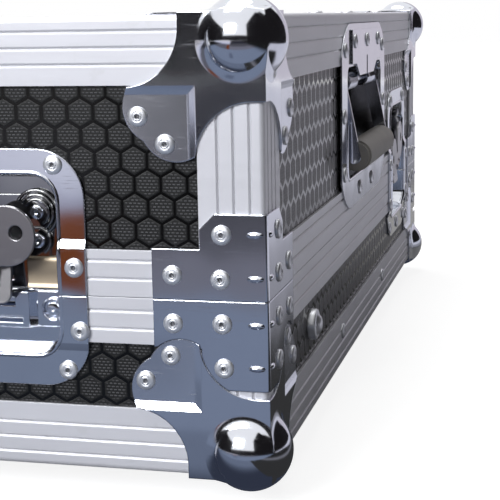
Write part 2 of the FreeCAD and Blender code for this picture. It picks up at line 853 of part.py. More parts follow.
class Face:
    """A place on a face of the case where local parts are set."""

    def __init__(self, side, along):
        self.side = side
        degrees = {"front": 0, "right": 90, "left": -90}[side]
        self.turn = FreeCAD.Rotation(FreeCAD.Vector(0, 0, 1), degrees)
        self.along = along

    def spot(self, x=ZERO, y=ZERO, z=ZERO):
        """The case's own coordinates of a local point."""
        if self.side == "front":
            return (self.along + x, y - half_depth, seam + z)
        if self.side == "right":
            return (half_width - y, self.along + x, seam + z)
        return (y - half_width, self.along - x, seam + z)

    def set(self, thing, x=ZERO, y=ZERO, z=ZERO, turn=None):
        whole = self.turn.multiply(turn) if turn else self.turn
        return place(thing, *self.spot(x, y, z), turn=whole)


def tapered_dish(name, half_span, low, high, radius, draft, front, back):
    """A tub shape: a rounded rectangle at the front lofted to a smaller one at the back."""
    mouth = flat_sketch(name + "_mouth", "XZ", rounded(-half_span, half_span, low, high, radius), front)
    inner = half_span - draft
    outline = rounded(-inner, inner, low + draft, high - draft, radius - draft)
    floor = flat_sketch(name + "_floor", "XZ", outline, back)
    tub = add("Part::Loft", name)
    tub.Sections = [mouth, floor]
    tub.Solid = True
    tub.Ruled = True
    return tub


def latch_dish(name):
    """The whole latch dish: a flange stepped over the rim, and a drawn tub."""
    thick, wide = size.sheet_thick, size.latch_half_width
    low, high = -size.latch_below_seam, size.latch_above_seam
    lowered = skin - thick
    rim = size.rim_face + size.cut_clear + size.seam_gap
    step = rim + size.joggle_run
    back = skin
    section = [
        (-thick, rim), (lowered, step), (lowered, high), (back, high), (back, rim), (ZERO, rim),
        (ZERO, -rim), (back, -rim), (back, low), (lowered, low), (lowered, -step), (-thick, -rim),
    ]
    bands = slab(name + "_bands", "YZ", section, -wide, wide)
    outline = slab(name + "_outline", "XZ", rounded(-wide, wide, low, high, size.latch_corner_radius),
                   -thick, back)
    flange = common(name + "_flange", bands, outline)
    span, depth = size.dish_half_width, size.dish_depth
    under, over = -size.dish_below_seam, size.dish_above_seam
    radius, draft = size.dish_corner_radius, size.dish_draft
    outer = tapered_dish(name + "_tub", span + thick, under - thick, over + thick, radius + thick, draft,
                         -thick, depth + thick)
    front_section = [
        (-thick, rim), (lowered, step), (lowered, high), (depth + thick, high), (depth + thick, low),
        (lowered, low), (lowered, -step), (-thick, -rim),
    ]
    behind = slab(name + "_behind", "YZ", front_section, -wide, wide)
    tub = common(name + "_tub_trimmed", outer, behind)
    inner = tapered_dish(name + "_hollow", span, under, over, radius, draft, -thick, depth)
    return cut(name + "_dish", fuse(name + "_sheet", flange, tub), inner)


def mechanism_plate(name):
    """Plate on the dish's floor with the hub's bearing hole and two lugs that carry the hook's pin."""
    depth, thick = size.dish_depth, size.sheet_thick
    front = depth - thick
    flat = slab(name + "_flat", "XZ",
                rounded(-size.plate_half_width, size.plate_half_width, size.plate_from_seam,
                        size.plate_above_seam, size.plate_corner_radius), front, depth)
    bore = size.hub_stub_radius + size.fit_clear
    bearing = rod(name + "_bearing", "Y", bore, front - thick, depth + thick, ZERO, size.hub_above_seam)
    parts = [cut(name + "_drilled", flat, bearing)]
    lug_near = size.hook_half_width + size.hook_lug_clear
    lug_far = lug_near + size.hook_lug_thick
    pin_z, pin_y, around = size.hook_pin_above_seam, size.hook_pin_depth, size.hook_lug_radius
    for side, (low, high) in enumerate(((-lug_far, -lug_near), (lug_near, lug_far))):
        leg = box(name + "_lug_%d" % side, low, high, pin_y, front, pin_z - around, pin_z + around)
        crown = rod(name + "_lug_crown_%d" % side, "X", around, low, high, pin_y, pin_z)
        parts += [leg, crown]
    parts.append(rod(name + "_pin", "X", size.hook_pin_radius, -lug_far, lug_far, pin_y, pin_z))
    return fuse(name, *parts)


def keeper(name):
    """Hat-shaped keeper on the lower dish: riveted feet, a hump, a window for the hook and a slot."""
    floor, thick = size.dish_depth, size.sheet_thick
    wide, hump, slope = size.keeper_half_width, size.keeper_hump_half_width, size.keeper_slope_run
    near = floor - size.keeper_hump_rise
    section = [
        (-wide, floor), (-wide, floor - thick), (-hump - slope, floor - thick), (-hump, near - thick),
        (hump, near - thick), (hump + slope, floor - thick), (wide, floor - thick), (wide, floor),
        (hump + slope, floor), (hump, near), (-hump, near), (-hump - slope, floor),
    ]
    high = -size.keeper_top_drop
    low = high - size.keeper_tall
    hat = slab(name + "_hat", "XY", section, low, high)
    front = near - thick - size.cut_overrun
    half, sill = size.keeper_window_half_width, -size.keeper_window_top
    window = box(name + "_window", -half, half, front, floor, sill - size.keeper_window_tall, sill)
    half, sill = size.keeper_slot_half_width, -size.keeper_slot_drop
    slot = box(name + "_slot", -half, half, front, floor, sill - size.keeper_slot_tall, sill)
    return cut(name, hat, window, slot)


def hub(name):
    """Turning hub: stub, cam disc, neck and two lugs with the wing's pin, centred on its own axis."""
    floor = size.dish_depth - size.sheet_thick - size.fit_clear
    stub = rod(name + "_stub", "Y", size.hub_stub_radius, floor, size.dish_depth - size.fit_clear)
    cam = rod(name + "_cam", "Y", size.hub_cam_radius, floor - size.hub_cam_thick, floor)
    neck = rod(name + "_neck", "Y", size.hub_radius, size.hub_top_depth, floor)
    near, thick, around = size.hub_lug_from_middle, size.hub_lug_thick, size.hub_lug_radius
    parts = [stub, cam, neck]
    for side, (low, high) in enumerate(((-near - thick, -near), (near, near + thick))):
        parts.append(box(name + "_lug_%d" % side, low, high, ZERO, size.hub_top_depth, -around, around))
        parts.append(rod(name + "_lug_crown_%d" % side, "X", around, low, high))
    parts.append(rod(name + "_pin", "X", size.wing_pin_radius, -near - thick, near + thick))
    return fuse(name, *parts)


def wing(name):
    """Butterfly wing: two ears with lock holes, a waist and a rolled hinge barrel on the hub's pin."""
    half = size.wing_thick / 2
    ear_x, ear_z, ear = size.wing_ear_from_middle, size.wing_ear_above_pin, size.wing_ear_radius
    parts = []
    for side, middle in enumerate((-ear_x, ear_x)):
        parts.append(rod(name + "_ear_%d" % side, "Y", ear, -half, half, middle, ear_z))
    lug_top = size.hub_lug_radius + size.wing_lug_clear
    lug_side = size.hub_lug_from_middle + size.hub_lug_thick + size.wing_lug_clear
    tongue = size.hub_lug_from_middle - size.wing_lug_clear / 2
    waist = [
        (-ear_x, ZERO), (-lug_side, ZERO), (-lug_side, lug_top), (-tongue, lug_top), (-tongue, ZERO),
        (tongue, ZERO), (tongue, lug_top), (lug_side, lug_top), (lug_side, ZERO), (ear_x, ZERO),
        (ear_x, size.wing_waist_above_pin), (-ear_x, size.wing_waist_above_pin),
    ]
    parts.append(slab(name + "_waist", "XZ", waist, -half, half))
    parts.append(rod(name + "_barrel", "X", size.wing_barrel_radius, -tongue, tongue))
    whole = fuse(name + "_whole", *parts)
    tools = []
    for side, middle in enumerate((-size.wing_hole_from_middle, size.wing_hole_from_middle)):
        tools.append(rod(name + "_hole_%d" % side, "Y", size.wing_hole_radius, -half - half, half + half,
                         middle, ear_z))
    tools.append(rod(name + "_bore", "X", size.wing_pin_radius + size.fit_clear, -lug_side, lug_side))
    return cut(name, whole, *tools)


def hook(name):
    """Forked hook plate that hangs from its pin past the hub, with a lip that enters the keeper."""
    half, wide, gap = size.hook_thick / 2, size.hook_half_width, size.hook_slot_half_width
    low = -size.hook_pin_above_seam - size.hook_below_seam
    crotch = size.hub_above_seam - size.hook_pin_above_seam - gap
    corner = size.hook_corner_radius
    outline = [
        (-gap, ZERO), (-wide, ZERO), (-wide, low + corner, corner, 1), (-wide + corner, low),
        (wide - corner, low, corner, 1), (wide, low + corner), (wide, ZERO), (gap, ZERO),
        (gap, crotch), (-gap, crotch),
    ]
    plate = slab(name + "_plate", "XZ", outline, -half, half)
    lip_half = wide - corner
    lip = box(name + "_lip", -lip_half, lip_half, -half, size.hook_lip_reach, low, low + size.hook_thick)
    parts = [plate, lip]
    for side, (near, far) in enumerate(((-wide, -gap), (gap, wide))):
        parts.append(rod(name + "_barrel_%d" % side, "X", size.hook_barrel_radius, near, far))
    bore = rod(name + "_bore", "X", size.hook_pin_radius + size.fit_clear, -wide - half, wide + half)
    return cut(name, fuse(name + "_whole", *parts), bore)


LATCH_FACES = {
    "front_left": Face("front", -front_latch_x),
    "front_right": Face("front", front_latch_x),
    "left_side": Face("left", side_latch_y),
    "right_side": Face("right", side_latch_y),
}


def latches():
    keepers, plates = [], []
    reach = size.latch_half_width + size.cut_overrun
    deep = size.dish_depth + size.sheet_thick + size.cut_overrun
    low, high = -size.latch_below_seam - size.cut_overrun, size.latch_above_seam + size.cut_overrun
    for where, face in LATCH_FACES.items():
        tag = "latch_" + where
        whole = latch_dish(tag)
        above = box(tag + "_above", -reach, reach, -deep, deep, size.seam_gap, high)
        below = box(tag + "_below", -reach, reach, -deep, deep, low, ZERO)
        keep("latch_lid_dish_" + where, face.set(common(tag + "_lid_dish", whole, above)))
        keep("latch_base_dish_" + where, face.set(common(tag + "_base_dish", whole, below)))
        plates.append(face.set(mechanism_plate(tag + "_mechanism")))
        keepers.append(face.set(keeper(tag + "_keeper")))
        spin = FreeCAD.Rotation(FreeCAD.Vector(0, -1, 0), number(size.wing_rest_turn))
        keep("latch_hub_" + where, face.set(hub(tag + "_hub"), z=size.hub_above_seam, turn=spin))
        keep("latch_wing_" + where, face.set(wing(tag + "_wing"), z=size.hub_above_seam, turn=spin))
        tilt = FreeCAD.Rotation(FreeCAD.Vector(1, 0, 0), -number(size.hook_rest_tilt))
        keep("latch_hook_" + where, face.set(hook(tag + "_hook"), y=size.hook_pin_depth,
                                             z=size.hook_pin_above_seam, turn=tilt))
    keep("latch_keepers", group("latch_keepers", *keepers))
    keep("latch_mechanism_plates", group("latch_mechanism_plates", *plates))


# Sprung side handles

def handle_dish(name):
    """Flat flange with a drawn tub and two bored lugs for the bail."""
    thick = size.sheet_thick
    wide, foot_z, head_z = size.handle_half_width, size.handle_from_seam, size.handle_above_seam
    run, rise, bow = size.handle_corner_run, size.handle_corner_rise, size.handle_corner_radius
    flat, low_end, high_end = wide - run, foot_z + rise, head_z - rise
    outline = [
        (-flat, foot_z), (flat, foot_z, bow, 1), (wide, low_end), (wide, high_end, bow, 1),
        (flat, head_z), (-flat, head_z, bow, 1), (-wide, high_end), (-wide, low_end, bow, 1),
    ]
    flange = slab(name + "_flange", "XZ", outline, -thick, ZERO)
    span, low, high = size.grip_dish_half_width, size.grip_dish_from_seam, size.grip_dish_above_seam
    radius, draft, depth = size.grip_dish_corner_radius, size.grip_dish_draft, size.grip_dish_depth
    outer = tapered_dish(name + "_tub", span + thick, low - thick, high + thick, radius + thick, draft,
                         -thick, depth + thick)
    inner = tapered_dish(name + "_hollow", span, low, high, radius, draft, -thick, depth)
    sheet_part = cut(name + "_sheet", fuse(name + "_whole", flange, outer), inner)
    parts = [sheet_part]
    near = size.bail_arm_from_middle + size.bail_arm_thick + size.bail_lug_clear
    half = size.bail_lug_half
    pin_y, pin_z = size.bail_pin_depth, size.bail_pin_above_seam
    blocks = []
    wall_middle = span + thick / 2
    for side, (left, right) in enumerate(((-wall_middle, -near), (near, wall_middle))):
        blocks.append(box(name + "_lug_%d" % side, left, right, pin_y - half, pin_y + half, pin_z - half,
                          pin_z + half))
    lugs = common(name + "_lugs", fuse(name + "_blocks", *blocks), outer)
    bore = rod(name + "_bore", "X", size.bail_pin_radius + size.fit_clear, -span - size.cut_overrun + thick,
               span + size.cut_overrun - thick, pin_y, pin_z)
    return cut(name, fuse(name + "_lugged", *parts, lugs), bore)


def hood(name):
    """Stamped hood over the handle's hinge: two shoulders and a slotted tongue that dips over the pins."""
    wide, high, shoulder = size.hood_half_width, size.hood_above_seam, size.hood_shoulder_above_seam
    tongue, low = size.hood_tongue_half_width, size.hood_tongue_from_seam
    slope, slot, deep = size.hood_slope_run, size.hood_slot_half_width, size.hood_slot_deep
    outline = [
        (-wide, shoulder), (-tongue - slope, shoulder), (-tongue, low), (-slot, low), (-slot, low + deep),
        (slot, low + deep), (slot, low), (tongue, low), (tongue + slope, shoulder), (wide, shoulder),
        (wide, high), (-wide, high),
    ]
    thick = size.sheet_thick
    return slab(name, "XZ", outline, -thick - thick, -thick)


def bail(name):
    """Two arms and a cross rod, hung on stub pins; its frame is centred on the pins."""
    near = size.bail_arm_from_middle
    far = near + size.bail_arm_thick
    drop = size.grip_above_seam - size.bail_pin_above_seam
    out = size.grip_depth - size.bail_pin_depth
    half = size.bail_arm_wide / 2
    outline = [(-half, ZERO), (out - half, drop), (out + half, drop), (half, ZERO)]
    parts = []
    for side, (low, high) in enumerate(((-far, -near), (near, far))):
        parts.append(slab(name + "_arm_%d" % side, "YZ", outline, low, high))
        parts.append(rod(name + "_eye_%d" % side, "X", half, low, high))
        parts.append(rod(name + "_foot_%d" % side, "X", half, low, high, out, drop))
    stub = size.bail_lug_clear + (size.grip_dish_half_width - far) * size.bail_pin_share
    parts.append(rod(name + "_left_pin", "X", size.bail_pin_radius, -far - stub, -near))
    parts.append(rod(name + "_right_pin", "X", size.bail_pin_radius, near, far + stub))
    parts.append(rod(name + "_rod", "X", size.bail_rod_radius, -far, far, out, drop))
    return fuse(name, *parts)


def grip(name):
    """Rubber grip on the bail's rod, with a smaller collar at each end."""
    half, collar = size.grip_half_length, size.grip_collar_long
    drop = size.grip_above_seam - size.bail_pin_above_seam
    out = size.grip_depth - size.bail_pin_depth
    barrel = rod(name + "_barrel", "X", size.grip_radius, -half + collar, half - collar, out, drop)
    ends = rod(name + "_collars", "X", size.grip_collar_radius, -half, half, out, drop)
    reach, hollow = half + collar, size.bail_rod_radius + size.fit_clear
    bore = rod(name + "_bore", "X", hollow, -reach, reach, out, drop)
    return cut(name, fuse(name + "_whole", barrel, ends), bore)


def handles():
    dishes, hoods = [], []
    for side in ("left", "right"):
        face = Face(side, ZERO)
        tag = "handle_" + side
        dishes.append(face.set(handle_dish(tag + "_dish")))
        hoods.append(face.set(hood(tag + "_hood")))
        pin = {"y": size.bail_pin_depth, "z": size.bail_pin_above_seam}
        keep("handle_bail_" + side, face.set(bail(tag + "_bail"), **pin))
        keep("handle_grip_" + side, face.set(grip(tag + "_grip"), **pin))
    keep("handle_dishes", group("handle_dishes", *dishes))
    keep("handle_hoods", group("handle_hoods", *hoods))


# Foam, feet and bolts

def foam():
    inset = size.foam_from_face
    x_half, y_half = half_width - inset, half_depth - inset
    low = bottom + web + size.foam_clear
    block = padded_body("base_foam", "XY", rectangle(-x_half, x_half, -y_half, y_half), size.base_foam_tall)
    cavity_x, cavity_y = size.foam_cavity_width / 2, size.foam_cavity_depth / 2
    finger_x, finger_y = size.foam_finger_width / 2, cavity_y + size.foam_finger_depth
    radius = size.foam_cavity_radius
    outline = [
        (-cavity_x + radius, -cavity_y), (-finger_x, -cavity_y), (-finger_x, -finger_y),
        (finger_x, -finger_y), (finger_x, -cavity_y), (cavity_x - radius, -cavity_y, radius, 1),
        (cavity_x, -cavity_y + radius), (cavity_x, cavity_y - radius, radius, 1),
        (cavity_x - radius, cavity_y), (finger_x, cavity_y), (finger_x, finger_y), (-finger_x, finger_y),
        (-finger_x, cavity_y), (-cavity_x + radius, cavity_y, radius, 1),
        (-cavity_x, cavity_y - radius), (-cavity_x, -cavity_y + radius, radius, 1),
    ]
    sketch = body_sketch(block, "base_foam_cavity", "XY", outline)
    sketch.AttachmentOffset = FreeCAD.Placement(FreeCAD.Vector(0, 0, number(size.base_foam_floor)),
                                                FreeCAD.Rotation())
    bind(sketch, ".AttachmentOffset.Base.z", size.base_foam_floor)
    cavity = block.newObject("PartDesign::Pocket", "base_foam_cavity_pocket")
    cavity.Profile = sketch
    cavity.Reversed = True
    bind(cavity, "Length", size.base_foam_tall)
    place(block, z=low)
    keep("base_foam", block)

    lid_low = top - web - size.foam_clear - size.lid_foam_thick
    outline = rectangle(-x_half, x_half, -y_half, y_half)
    slab_body = padded_body("lid_foam", "XY", outline, size.lid_foam_thick)
    place(slab_body, z=lid_low)
    keep("lid_foam", slab_body)


def foot(name):
    """Tapered rubber foot with a counterbored screw hole."""
    wide, taper = size.foot_radius, size.foot_taper
    tall = size.foot_tall + skin
    bore, recess, deep = size.foot_bore_radius, size.foot_recess_radius, size.foot_recess_deep
    section = [
        (recess, ZERO), (wide - taper, ZERO), (wide, tall), (bore, tall), (bore, deep), (recess, deep),
    ]
    body = add("PartDesign::Body", name)
    sketch = body_sketch(body, name + "_section", "XZ", section)
    turned = body.newObject("PartDesign::Revolution", name + "_turned")
    turned.Profile = sketch
    turned.ReferenceAxis = (sketch, ["V_Axis"])
    turned.Angle = 360
    return body


def screw(name):
    """Pan-head screw that stands in a foot's counterbore and goes up into the floor panel."""
    seat = size.foot_recess_deep
    head = rod(name + "_head", "Z", size.screw_head_radius, seat - size.screw_head_thick, seat)
    shank = rod(name + "_shank", "Z", size.screw_shank_radius, seat,
                size.foot_tall + skin + size.screw_into_panel)
    return fuse(name, head, shank)


def feet_and_bolts():
    x, y = -half_width + size.foot_inset, -half_depth + size.foot_inset
    rubber = place(foot("rubber_foot"), x, y)
    keep("rubber_feet", group("rubber_feet", *four_corners("rubber_foot", rubber).values()))
    metal = place(screw("foot_screw"), x, y)
    bolts = []
    face, head = half_width - skin, size.bolt_head_thick
    for side, (low, high) in (("left", (-face - head, -face)), ("right", (face, face + head))):
        bolts.append(rod("side_bolt_" + side, "X", size.bolt_head_radius, low, high,
                         -half_depth + size.bolt_from_front, bottom + size.bolt_above_bottom))
    keep("base_fasteners", group("base_fasteners", *four_corners("foot_screw", metal).values(), *bolts))


def check():
    """Stop if any object failed, or any sub-part is empty or not valid."""
    failed = [thing.Label for thing in doc.Objects if "Invalid" in thing.State or "Error" in thing.State]
    if failed:
        raise RuntimeError("failed: " + ", ".join(failed))
    for name, thing in nodes.items():
        shape = thing.Shape
        if shape.isNull() or not shape.isValid() or not shape.Solids:
            failed.append(name)
    if failed:
        raise RuntimeError("not a valid solid: " + ", ".join(failed))


panels()
trims()
ball_corners()
braces()
latches()
handles()
foam()
feet_and_bolts()
doc.recompute()
check()

os.makedirs("parts", exist_ok=True)
for name, thing in nodes.items():
    thing.Shape.exportStep("parts/" + name + ".step")
print(len(nodes), "sub-parts written")
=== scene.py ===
import json
import math

import bmesh
import bpy
from mathutils import Matrix, Vector


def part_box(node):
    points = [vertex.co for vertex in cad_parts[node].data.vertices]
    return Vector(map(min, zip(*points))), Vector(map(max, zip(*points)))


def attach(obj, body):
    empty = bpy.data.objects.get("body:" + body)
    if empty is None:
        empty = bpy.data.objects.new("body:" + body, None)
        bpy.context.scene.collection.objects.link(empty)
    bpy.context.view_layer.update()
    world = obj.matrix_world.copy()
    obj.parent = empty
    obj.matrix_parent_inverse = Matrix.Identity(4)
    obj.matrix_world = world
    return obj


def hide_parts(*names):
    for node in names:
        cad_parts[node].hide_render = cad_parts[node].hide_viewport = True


# Looks of a flight case: honeycomb laminate, grooved aluminium edging and bright pressed hardware.
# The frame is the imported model's: origin on the ground, +Z up, front face towards -Y. The case's sizes are in
# millimetres, which MM turns into Blender's metres. The stage is laid out in metres, and colours are linear.

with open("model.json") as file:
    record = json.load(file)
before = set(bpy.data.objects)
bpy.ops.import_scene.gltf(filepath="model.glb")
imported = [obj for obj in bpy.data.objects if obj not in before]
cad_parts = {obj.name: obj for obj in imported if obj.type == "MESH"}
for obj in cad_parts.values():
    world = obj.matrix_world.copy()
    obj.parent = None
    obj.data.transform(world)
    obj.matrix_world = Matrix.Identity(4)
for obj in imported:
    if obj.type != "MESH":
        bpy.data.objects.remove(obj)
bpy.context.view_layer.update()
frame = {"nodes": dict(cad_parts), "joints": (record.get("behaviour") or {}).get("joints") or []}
nodes = frame["nodes"]
scene = bpy.context.scene
MM = 0.001
LOW, HIGH = 0, 1
X, Y, Z = 0, 1, 2


def node_box(name):
    """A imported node's lowest and highest corners, in millimetres to a tenth."""
    return [[round(value / MM, 1) for value in corner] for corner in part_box(name)]


def node_middle(name, axis):
    """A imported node's middle along an axis, in millimetres."""
    low, high = node_box(name)
    return (low[axis] + high[axis]) / 2


HALF_WIDTH, HALF_DEPTH, _ = node_box("base_edge_trims")[HIGH]
BOTTOM = node_box("base_edge_trims")[LOW][Z]
SEAM = node_box("base_rim_trims")[HIGH][Z]
TOP = node_box("lid_edge_trims")[HIGH][Z]
SEAM_GAP = round(node_box("lid_corner_braces")[LOW][Z] - SEAM, 1)
BRACE_PROUD = round(node_box("base_corner_braces")[HIGH][X] - HALF_WIDTH, 1)
BOLT_FACE = node_box("base_fasteners")[HIGH][X]
LATCH_PLACES = (("front_left", "front", X), ("front_right", "front", X),
                ("left_side", "left", Y), ("right_side", "right", Y))
LATCHES = [(face, node_middle("latch_base_dish_" + place, axis)) for place, face, axis in LATCH_PLACES]
TAB_DEPTH = 0.3
SIGNS = (-1, 1)
CORNERS = [(sx, sy) for sx in SIGNS for sy in SIGNS]


# Node graphs

OPENNESS_SAMPLES, EDGE_SAMPLES = 8, 6


class Nodes:
    """The node tree of a material or world, emptied, with short ways to build it."""

    def __init__(self, owner):
        owner.use_nodes = True
        self.nodes, self.links = owner.node_tree.nodes, owner.node_tree.links
        self.nodes.clear()

    def feed(self, socket, value):
        """Links a socket to another one, or sets its value."""
        if isinstance(value, bpy.types.NodeSocket):
            self.links.new(value, socket)
        else:
            socket.default_value = value

    def math(self, operation, *values):
        made = self.nodes.new("ShaderNodeMath")
        made.operation = operation
        for socket, value in zip(made.inputs, values):
            self.feed(socket, value)
        return made.outputs[0]

    def shown(self):
        """1 for rays of the camera, of reflections and through glass, 0 for those that light the object."""
        path = self.nodes.new("ShaderNodeLightPath")
        seen = self.math("MAXIMUM", path.outputs["Is Camera Ray"], path.outputs["Is Glossy Ray"])
        return self.math("MAXIMUM", seen, path.outputs["Is Transmission Ray"])


class Graph(Nodes):
    """A material's node graph, built on the Principled shader."""

    def __init__(self, name, **sockets):
        self.material = bpy.data.materials.new(name)
        super().__init__(self.material)
        self.shader = self.nodes.new("ShaderNodeBsdfPrincipled")
        output = self.nodes.new("ShaderNodeOutputMaterial")
        self.links.new(self.shader.outputs["BSDF"], output.inputs["Surface"])
        self.place = self.nodes.new("ShaderNodeTexCoord").outputs["Object"]
        for socket, value in sockets.items():
            self.give(socket.replace("_", " "), value)

    def give(self, name, value):
        """Feeds an input of the shader."""
        self.feed(self.shader.inputs[name], value)

    def step(self, value, low, high):
        """Goes smoothly from 0 at low to 1 at high."""
        made = self.nodes.new("ShaderNodeMapRange")
        made.interpolation_type = "SMOOTHSTEP"
        for socket, given in zip(made.inputs, (value, low, high)):
            self.feed(socket, given)
        return made.outputs[0]

    def axes(self):
        """The place on the object as x, y and z."""
        made = self.nodes.new("ShaderNodeSeparateXYZ")
        self.feed(made.inputs[0], self.place)
        return dict(zip("xyz", made.outputs))

    def noise(self, scale, detail=2.0, stretch=(1.0, 1.0, 1.0)):
        """Clouds from 0 to 1; a small stretch along an axis draws them out into streaks."""
        mapped = self.nodes.new("ShaderNodeMapping")
        self.feed(mapped.inputs["Vector"], self.place)
        mapped.inputs["Scale"].default_value = stretch
        made = self.nodes.new("ShaderNodeTexNoise")
        made.inputs["Scale"].default_value = scale
        made.inputs["Detail"].default_value = detail
        self.feed(made.inputs["Vector"], mapped.outputs[0])
        return made.outputs["Fac"]

    def cells(self, scale):
        """Distance to the nearest point of a pattern of cells."""
        made = self.nodes.new("ShaderNodeTexVoronoi")
        made.inputs["Scale"].default_value = scale
        self.feed(made.inputs["Vector"], self.place)
        return made.outputs["Distance"]

    def mix(self, share, first, second):
        """The first colour where the share is 0, the second where it is 1."""
        made = self.nodes.new("ShaderNodeMix")
        made.data_type = "RGBA"
        colour_inputs = [socket for socket in made.inputs if socket.type == "RGBA"]
        self.feed(made.inputs["Factor"], share)
        self.feed(colour_inputs[0], first)
        self.feed(colour_inputs[1], second)
        return next(socket for socket in made.outputs if socket.type == "RGBA")

    def between(self, value, low, high):
        """A value from 0 to 1, spread from low to high."""
        return self.math("MULTIPLY_ADD", value, high - low, low)

    def openness(self, reach):
        """Low in narrow grooves, 1 in the open."""
        made = self.nodes.new("ShaderNodeAmbientOcclusion")
        made.only_local = True
        made.samples = OPENNESS_SAMPLES
        made.inputs["Distance"].default_value = reach
        return made.outputs["AO"]

    def bump(self, height, distance, strength, edge=0.0):
        """Small relief; an edge radius also rounds the look of sharp edges."""
        made = self.nodes.new("ShaderNodeBump")
        if edge:
            rounded = self.nodes.new("ShaderNodeBevel")
            rounded.samples = EDGE_SAMPLES
            rounded.inputs["Radius"].default_value = edge
            self.feed(made.inputs["Normal"], rounded.outputs[0])
        made.inputs["Strength"].default_value = strength
        made.inputs["Distance"].default_value = distance
        self.feed(made.inputs["Height"], height)
        self.give("Normal", made.outputs[0])


def grey(level, warm=0.0):
    """A grey of a level; a warm share gives it more red and less blue."""
    return (level * (1 + warm), level, level * (1 - warm), 1.0)


# Laminate: a pair holds the two ends of a smooth step, where it is 0 and where it is 1

HEX_PITCH = 12.5
ROW_PITCH = math.sqrt(3.0)
DASH_PITCH, DASH_ROW = 2.1, 1.48
DASH_HALF_LONG, DASH_HALF_TALL = (0.40, 0.26), (0.27, 0.10)
DASH_FROM_GROOVE = (0.05, 0.24)
# Painted sheen: the dashes' pale colour
DASH_SHEEN = (0.085, 0.085, 0.092, 1.0)
CELL_DARK, CELL_LIGHT = grey(0.007), grey(0.012)
CELL_CLOUD_SCALE = 30.0
RELIEF_HIGH, CELL_RISE_SHARE, DASH_RISE_SHARE, RELIEF_STRENGTH = 0.25, 0.6, 0.6, 0.9
FRONT_GROOVE, FRONT_GLOSS, SIDE_GROOVE = (0.056, 0.090), (0.036, 0.060), (0.055, 0.130)


def honeycomb(graph, across, up):
    """Distance from the nearest side of a honeycomb's cell, in pitches."""
    u = graph.math("DIVIDE", across, HEX_PITCH * MM)
    v = graph.math("DIVIDE", up, HEX_PITCH * MM)

    def folded(value, shift, period):
        """The value's place within a period, from the period's middle."""
        moved = graph.math("FLOORED_MODULO", graph.math("ADD", value, shift * period), period)
        return graph.math("SUBTRACT", moved, period / 2)

    def grid(shift):
        """Place inside a cell of one of the two grids that make the honeycomb, and its distance squared."""
        a, b = folded(u, shift, 1.0), folded(v, shift, ROW_PITCH)
        return a, b, graph.math("ADD", graph.math("MULTIPLY", a, a), graph.math("MULTIPLY", b, b))

    def reach(a, b):
        """Distance from the cell's middle, 0.5 at its sides."""
        a, b = graph.math("ABSOLUTE", a), graph.math("ABSOLUTE", b)
        slant = graph.math("MULTIPLY_ADD", b, ROW_PITCH / 2, graph.math("MULTIPLY", a, 0.5))
        return graph.math("MAXIMUM", a, slant)

    first, second = grid(0.0), grid(0.5)
    nearer = graph.math("LESS_THAN", first[2], second[2])
    spread = graph.math("SUBTRACT", reach(*first[:2]), reach(*second[:2]))
    return graph.math("SUBTRACT", 0.5, graph.math("MULTIPLY_ADD", spread, nearer, reach(*second[:2])))


def dashes(graph, across, up):
    """1 on fine dashes in rows, each row half a pitch beside the last."""

    def off_middle(value):
        """Distance from the middle of a repeat, 0.5 at its ends."""
        return graph.math("ABSOLUTE", graph.math("SUBTRACT", graph.math("FRACT", value), 0.5))

    rows = graph.math("DIVIDE", up, DASH_ROW * MM)
    odd = graph.math("FLOORED_MODULO", graph.math("FLOOR", rows), 2.0)
    along = graph.math("MULTIPLY_ADD", odd, 0.5, graph.math("DIVIDE", across, DASH_PITCH * MM))
    return graph.math("MULTIPLY", graph.step(off_middle(along), *DASH_HALF_LONG),
                      graph.step(off_middle(rows), *DASH_HALF_TALL))


def laminate(name, across, up, groove=FRONT_GROOVE, gloss=FRONT_GLOSS, groove_shade_and_sheen=0.003, cell_rough=0.48,
             groove_rough=0.12, sheen=0.34):
    """Embossed honeycomb: raised cells of fine staggered dashes between smooth grooves. The dashes' pale colour
    is painted sheen; the groove tone is painted shade in the front's grooves and painted sheen in the side's.

    The groove and gloss pairs are distances from a cell's side, in pitches, over which the cell's colour and
    its roughness come in.
    """
    graph = Graph(name, Specular_IOR_Level=sheen)
    axes = graph.axes()
    edge = honeycomb(graph, axes[across], axes[up])
    cell = graph.step(edge, *groove)
    dash = dashes(graph, axes[across], axes[up])
    dash = graph.math("MULTIPLY", dash, graph.step(edge, *DASH_FROM_GROOVE))
    cell_tone = graph.mix(graph.noise(CELL_CLOUD_SCALE, detail=3.0), CELL_DARK, CELL_LIGHT)
    # The groove tone is painted shade in the front's darker grooves and painted sheen in the side's paler ones.
    colour = graph.mix(cell, grey(groove_shade_and_sheen), cell_tone)
    # The dashes' pale colour is a painted sheen.
    graph.give("Base Color", graph.mix(dash, colour, DASH_SHEEN))
    graph.give("Roughness", graph.between(graph.step(edge, *gloss), groove_rough, cell_rough))
    relief = graph.math("MULTIPLY_ADD", cell, CELL_RISE_SHARE, graph.math("MULTIPLY", dash, DASH_RISE_SHARE))
    graph.bump(relief, RELIEF_HIGH * MM, RELIEF_STRENGTH)
    return graph.material


# Metals

ANODISED = (0.73, 0.73, 0.78, 1.0), (0.80, 0.80, 0.85, 1.0)
ANODISED_SCALE, ANODISED_ROUGH = 14.0, (0.36, 0.52)
STREAK_SCALE, STREAK_STRETCH, STREAK_RISE, STREAK_STRENGTH = 240.0, (0.06, 0.06, 1.0), 0.03, 0.5
WORN, WORN_SCALE, WORN_FROM, WORN_SHARE = grey(0.60), 90.0, (0.62, 0.72), 0.2
